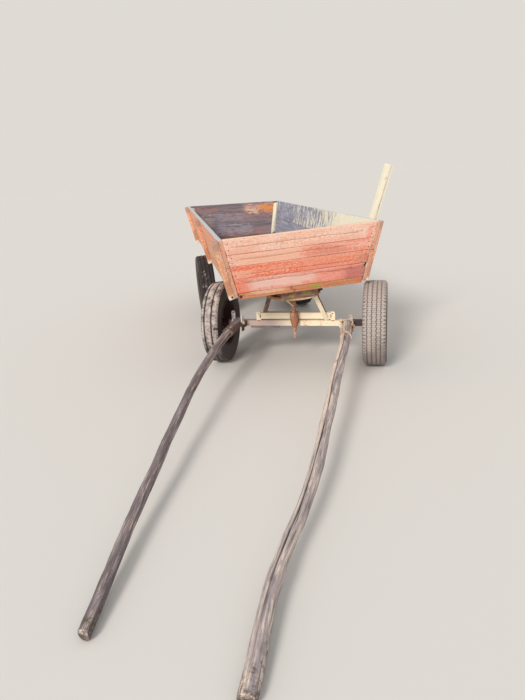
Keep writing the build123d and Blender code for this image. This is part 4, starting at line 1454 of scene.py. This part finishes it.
        # Painted shade: towards the bottom of the tyre the dusty tread gives way to darker bare
        # rubber.
        washed = times(tree, inverse(tree, steps(tree, rise, 0.12, 0.30)), clean)
        treads = blend(tree, washed, dirty(rubber, dusty), linear(dim(look.rubber, 1.15)))
        tone = blend(tree, mark(tree, "tread"), wall, treads)
        cuts = add(tree, "ShaderNodeTexWave", {
            "Vector": stretch(tree, vector, (1, 0.55, 1)), "Scale": 22.0, "Distortion": 2.5,
            "Detail": 2.0, "Detail Scale": 3.0,
        }, bands_direction="X").outputs[1]
        thin = times(tree, inverse(tree, steps(tree, cuts, 0.06, 0.22)), mark(tree, "tread"))
        thin = times(tree, thin, cut)
        # Painted shade: the grooves and the fine cuts are painted near black, as far as the groove
        # share goes.
        dark = larger(tree, thin, steps(tree, mark(tree, "groove"), 0.2, 0.8))
        tone = blend(tree, times(tree, dark, groove), tone, (0.014, 0.012, 0.012, 1))
        finish(tree, tone, 0.9, less(tree, times(tree, fine, 0.4), thin), 0.0012)
        return made

    def execute(self, context):
        look = context.scene.cart_tyres
        places = context.scene.cart_places
        dust = [a * b for a, b in zip(look.dust, (0.95, 0.95, 0.94))]
        worn_out = self.rubber("worn_rubber", 0.66, 0.0, look.dust, 0.94, 0.9)
        dusty = self.rubber("dusty_rubber", 0.86, 0.6, dust, 0.78, 0.4)
        dull = self.rubber("dull_rubber", 0.42, 0.0, look.dust, 0.9, 0.5)
        front, rear = (places.axle_lead, places.front_hub), (places.rear_axle, places.rear_hub)
        table = (
            ("front_left_tyre", "ribs", carriage_frame(), -1, front, 0.142, worn_out),
            ("front_right_tyre", "zigzag", carriage_frame(), 1, front, 0.172, dusty),
            ("rear_left_tyre", "plain", body_frame(), -1, rear, 0.160, dull),
            ("rear_right_tyre", "plain", body_frame(), 1, rear, 0.160, dull),
        )
        for seed, (node, kind, where, x_side, (y, hub_out), width, material) in enumerate(
            table, 121,
        ):
            worn(node, [self.tyre(kind, where, x_side, y, hub_out, width, seed)], material)
        return {"FINISHED"}


class CART_OT_metal(bpy.types.Operator):
    """Finishes of the axles, rings, irons, rims and hubs"""
    bl_idname = "cart.metal"
    bl_label = "Ironwork finishes"

    def execute(self, context):
        look = context.scene.cart_metal
        stain = mix(look.rust, 0.6, look.cream, 0.4)
        # Painted shade: the axle's left end turns mauve grey, and its stub right of the right shaft
        # is painted dark as a shadow.
        axle_tints = (((0.75, 0.67, 0.64), 0, 0.30, 0.12), ((0.30, 0.25, 0.24), 0, 0.655, 0.675))
        ring_tints = (((0.70, 0.57, 0.38), 0, 0.38, 0.22),)
        eye_tints = (((0.88, 0.85, 0.84), 2, 0.325, 0.335),)
        brown_tone, brown_rust = (0.56, 0.48, 0.46), (0.48, 0.37, 0.34)
        eye_tone, eye_rust, pale_tone = (0.34, 0.28, 0.27), (0.40, 0.29, 0.26), (0.88, 0.82, 0.76)
        cream = old_metal("cream_paint", look.cream, stain, look.rust, 0.32, 0.6)
        axle = old_metal("axle_paint", look.cream, stain, look.rust, 0.36, 0.6, tints=axle_tints)
        ring = old_metal("ring_paint", look.cream, stain, look.rust, 0.42, 0.6, tints=ring_tints)
        rusty = old_metal("rusty_iron", stain, look.rust, look.dark, 0.58, 0.8)
        brown = old_metal("brown_iron", brown_tone, brown_rust, look.dark, 0.55, 0.8)
        eye = old_metal("eye_iron", eye_tone, eye_rust, look.dark, 0.4, 0.7, tints=eye_tints)
        pale = old_metal("pale_iron", pale_tone, stain, look.rust, 0.5, 0.6, shine=0.2)
        dark = old_metal("dark_iron", look.dark, look.dark, dim(look.dark, 0.5), 0.8, 0.8)
        by_slot = {"cream_steel": cream, "rusty_steel": rusty, "dark_rust": dark}
        for node, slot in SLOT_OF.items():
            if slot in by_slot:
                dress([node], by_slot[slot])
        # The front left strut is cream-painted steel like the rear one; the brown iron on it is
        # painted shade. The left shaft iron and the nails are brown iron.
        dress(["front_left_strut", "left_shaft_iron"], brown)
        dress(["rear_left_strut"], cream)
        dress(["right_shaft_iron", "right_shaft_clevis", "shaft_pins"], pale)
        dress(["left_shaft_clevis"], eye)
        dress(["front_axle"], axle)
        dress(["lower_ring"], ring)
        wood = context.scene.cart_boards
        plate, tree = blank("plate_wood")
        timber = timber_in(tree, object_vector(tree), wood.bare, dim(wood.mauve, 0.7), 0.3)
        finish(tree, timber["Color"], 0.85, timber["Height"], 0.0006)
        dress(["under_plate"], plate)
        return {"FINISHED"}


class CART_OT_fittings(bpy.types.Operator):
    """Weld beads, bolts, wheel nuts and wires"""
    bl_idname = "cart.fittings"
    bl_label = "Welds, bolts and wires"

    FACE_BEHIND, AXLE_TOP, BAR_TOP = 0.02, 0.32, 0.379
    UPRIGHT_X, STRUT_X, SOCKET_X = 0.262, (0.259, 0.291), 0.026
    EYE_X, EYE_HALF = (-0.469, 0.404), 0.0145
    UPRIGHT_Z, SOCKET_Z, EYE_FOOT = (0.336, 0.374), (0.302, 0.342), 0.283
    BAR_WELD_X, BAR_WELD_OUT = (-0.241, -0.211), 0.006
    AXLE_WELD_X, AXLE_WELD_Z = (0.215, 0.245), 0.33
    LOOP = (
        (0.566, -0.05, 1.036), (0.604, -0.05, 1.028), (0.612, -0.05, 0.99), (0.56, -0.05, 0.972),
    )
    BRACE = ((-0.058, -0.02, 0.503), (0.002, -0.012, 0.437))
    LOOP_WIRE, BRACE_WIRE = 0.0035, 0.006
    NUTS, NUT_CIRCLE, NUT_RADIUS, NUT_HEIGHT, NUT_OUT = 5, 0.05, 0.0095, 0.014, 0.014
    CAP_RADIUS, CAP_HEIGHT, CAP_OUT = 0.031, 0.012, 0.034

    def front_bolts(self):
        """A bolt at the foot of the left front batten, and one at the sill's left end."""
        foot = node_points("left_battens")
        foot = foot[(foot[:, 1] < foot[:, 1].min() + 0.2) & (foot[:, 2] < foot[:, 2].min() + 0.03)]
        sill = node_points("front_sill")
        sill = sill[sill[:, 2] < sill[:, 2].min() + 0.03]
        spots = (
            ((foot[:, 0].mean(), foot[:, 1].min() - 0.001, foot[:, 2].min() + 0.022), 0.007),
            ((sill[:, 0].min() + 0.012, sill[:, 1].min() - 0.001, sill[:, 2].min() + 0.018), 0.009),
        )
        return [
            bolt(twisted(np.array([spot]))[0], (0, -1, 0), radius, 0.006) for spot, radius in spots
        ]

    def weld_runs(self):
        """The ends of each weld, in the front carriage's frame."""
        face = bpy.context.scene.cart_places.axle_lead - self.FACE_BEHIND
        runs = []
        for side in (-1, 1):
            runs += [
                [(side * x, face, self.AXLE_TOP) for x in self.STRUT_X],
                [(side * self.UPRIGHT_X, face, z) for z in self.UPRIGHT_Z],
                [(side * self.SOCKET_X, face, z) for z in self.SOCKET_Z],
            ]
        for eye_x in self.EYE_X:
            for side in (-1, 1):
                x = eye_x + self.EYE_HALF * side
                runs.append([(x, face, z) for z in (self.EYE_FOOT, self.AXLE_TOP)])
        runs.append([(x, face + self.BAR_WELD_OUT, self.BAR_TOP) for x in self.BAR_WELD_X])
        runs.append([(x, face, self.AXLE_WELD_Z) for x in self.AXLE_WELD_X])
        return runs

    def wheel_nuts(self, where, x_side, y, hub_out):
        """Five nuts on a circle round the axle, and a domed cap."""
        height = bpy.context.scene.cart_places.axle_height
        axis = where[1][:, 0] * x_side
        nuts = []
        for turn in np.arange(self.NUTS) * 2 * math.pi / self.NUTS + 0.3:
            y_off, z_off = self.NUT_CIRCLE * math.sin(turn), self.NUT_CIRCLE * math.cos(turn)
            spot = placed((x_side * (hub_out + self.NUT_OUT), y + y_off, height + z_off), where)
            nuts.append(bolt(spot, axis, self.NUT_RADIUS, self.NUT_HEIGHT))
        cap = placed((x_side * (hub_out + self.CAP_OUT), y, height), where)
        return nuts + [bolt(cap, axis, self.CAP_RADIUS, self.CAP_HEIGHT, sides=0, dome=0.9)]

    def execute(self, context):
        weld = context.scene.cart_metal.weld
        places = context.scene.cart_places
        body, carriage = body_frame(), carriage_frame()
        dark = FINISHES["dark_iron"]
        skin("front_bolts", self.front_bolts(), dark, "cart_body")
        loop = placed(self.LOOP, body)
        wires = [
            bead(a, b, self.LOOP_WIRE, 240 + k) for k, (a, b) in enumerate(zip(loop, loop[1:]))
        ]
        skin("stake_loop", wires, FINISHES["pale_iron"], "cart_body")
        brace = bead(*placed(self.BRACE, carriage), self.BRACE_WIRE, 250)
        skin("post_brace", [brace], FINISHES["cream_paint"], "front_carriage")
        beads = [
            bead(*placed(run, carriage), weld, 200 + k) for k, run in enumerate(self.weld_runs())
        ]
        skin("carriage_welds", beads, FINISHES["rusty_iron"], "front_carriage")
        front = carriage, places.axle_lead, places.front_hub
        rear = body, places.rear_axle, places.rear_hub
        for end, (where, y, hub_out) in (("front", front), ("rear", rear)):
            for side, x_side in (("left", -1), ("right", 1)):
                wheel = f"{end}_{side}"
                nuts = self.wheel_nuts(where, x_side, y, hub_out)
                skin(f"{wheel}_nuts", nuts, dark, f"{wheel}_wheel")
        return {"FINISHED"}


class CART_OT_stage(bpy.types.Operator):
    """Floor, light and camera"""
    bl_idname = "cart.stage"
    bl_label = "Stage"

    REACH = 60.0
    KEY_WAY, KEY_ANGLE, KEY_TINT = (0.62, 0.74, -0.62), math.radians(16), (1.0, 0.96, 0.9)
    EYE, YAW, PITCH, ROLL = (-0.5778, -3.5385, 1.414), -0.1735, 0.3482, -0.0738
    FOCAL_PIXELS, PICTURE_HEIGHT, SENSOR = 511.2, 700, 36

    def floor(self, context):
        """A wide square under the cart."""
        mesh = bpy.data.meshes.new("floor")
        reach = self.REACH
        corners = [(-reach, -reach, 0), (reach, -reach, 0), (reach, reach, 0), (-reach, reach, 0)]
        mesh.from_pydata(corners, [], [(0, 1, 2, 3)])
        floor = bpy.data.objects.new("floor", mesh)
        context.scene.collection.objects.link(floor)
        made, tree = blank("floor_paint")
        shader = tree.nodes["Principled BSDF"]
        shader.inputs["Base Color"].default_value = linear(context.scene.cart_light.floor)
        shader.inputs["Roughness"].default_value = 0.95
        mesh.materials.append(made)

    def light(self, context):
        """Even light from all sides, the shown backdrop, and a sun."""
        look = context.scene.cart_light
        world = bpy.data.worlds.new("studio")
        world.use_nodes = True
        context.scene.world = world
        tree = world.node_tree
        back = tree.nodes["Background"]
        back.inputs["Color"].default_value = WHITE + (1.0,)
        back.inputs["Strength"].default_value = look.sky
        shown = add(tree, "ShaderNodeBackground", {"Color": linear(look.backdrop), "Strength": 1.0})
        path = add(tree, "ShaderNodeLightPath").outputs
        seen = larger(tree, path["Is Camera Ray"], path["Is Glossy Ray"])
        either = add(
            tree, "ShaderNodeMixShader", {0: seen, 1: back.outputs[0], 2: shown.outputs[0]},
        )
        tree.links.new(either.outputs[0], tree.nodes["World Output"].inputs[0])
        lamp = bpy.data.lights.new("key", "SUN")
        lamp.energy = look.sun
        lamp.angle = self.KEY_ANGLE
        lamp.color = self.KEY_TINT
        key = bpy.data.objects.new("key", lamp)
        key.rotation_mode = "QUATERNION"
        key.rotation_quaternion = Vector(self.KEY_WAY).to_track_quat("-Z", "Y")
        context.scene.collection.objects.link(key)

    def camera(self, context):
        """The fitted camera: yaw and pitch give its way, and roll turns it about that."""
        camera = bpy.data.cameras.new("camera")
        camera.lens = self.FOCAL_PIXELS / self.PICTURE_HEIGHT * self.SENSOR
        camera.sensor_width = self.SENSOR
        camera.clip_end = 500
        level = math.cos(self.PITCH)
        forward = Vector((
            -math.sin(self.YAW) * level, math.cos(self.YAW) * level, -math.sin(self.PITCH),
        ))
        right = Vector((math.cos(self.YAW), math.sin(self.YAW), 0))
        up = right.cross(forward)
        across = right * math.cos(self.ROLL) + up * math.sin(self.ROLL)
        above = up * math.cos(self.ROLL) - right * math.sin(self.ROLL)
        view = bpy.data.objects.new("camera", camera)
        axes = Matrix((across, above, -forward)).transposed().to_4x4()
        view.matrix_world = Matrix.Translation(self.EYE) @ axes
        context.scene.collection.objects.link(view)
        context.scene.camera = view

    def execute(self, context):
        self.floor(context)
        self.light(context)
        context.scene.view_settings.view_transform = "Standard"
        self.camera(context)
        return {"FINISHED"}


class CART_PT_panel(bpy.types.Panel):
    """Lists the cart's operators and settings"""
    bl_idname = "CART_PT_panel"
    bl_label = "Horse cart"
    bl_space_type = "VIEW_3D"
    bl_region_type = "UI"
    bl_category = "Cart"

    def draw(self, context):
        for operator in OPERATORS:
            self.layout.operator(operator.bl_idname)
        for name in SETTINGS:
            group_of = getattr(context.scene, name)
            column_of = self.layout.column()
            for key in group_of.bl_rna.properties.keys():
                if key not in ("rna_type", "name"):
                    column_of.prop(group_of, key)


OPERATORS = (
    CART_OT_stage, CART_OT_metal, CART_OT_front, CART_OT_sides, CART_OT_tail, CART_OT_floor,
    CART_OT_stake, CART_OT_poles, CART_OT_tyres, CART_OT_fittings,
)
SETTINGS = {
    "cart_places": CartPlaces, "cart_boards": CartBoards, "cart_poles": CartPoles,
    "cart_tyres": CartTyres, "cart_metal": CartMetal, "cart_light": CartLight,
}


def register():
    for kind in (*SETTINGS.values(), *OPERATORS, CART_PT_panel):
        bpy.utils.register_class(kind)
    for name, kind in SETTINGS.items():
        setattr(bpy.types.Scene, name, bpy.props.PointerProperty(type=kind))


def unregister():
    for name in SETTINGS:
        delattr(bpy.types.Scene, name)
    for kind in (CART_PT_panel, *reversed(OPERATORS), *reversed(list(SETTINGS.values()))):
        bpy.utils.unregister_class(kind)


def main():
    register()
    for operator in OPERATORS:
        getattr(bpy.ops.cart, operator.bl_idname.split(".")[1])()


if __name__ == "__main__":
    main()
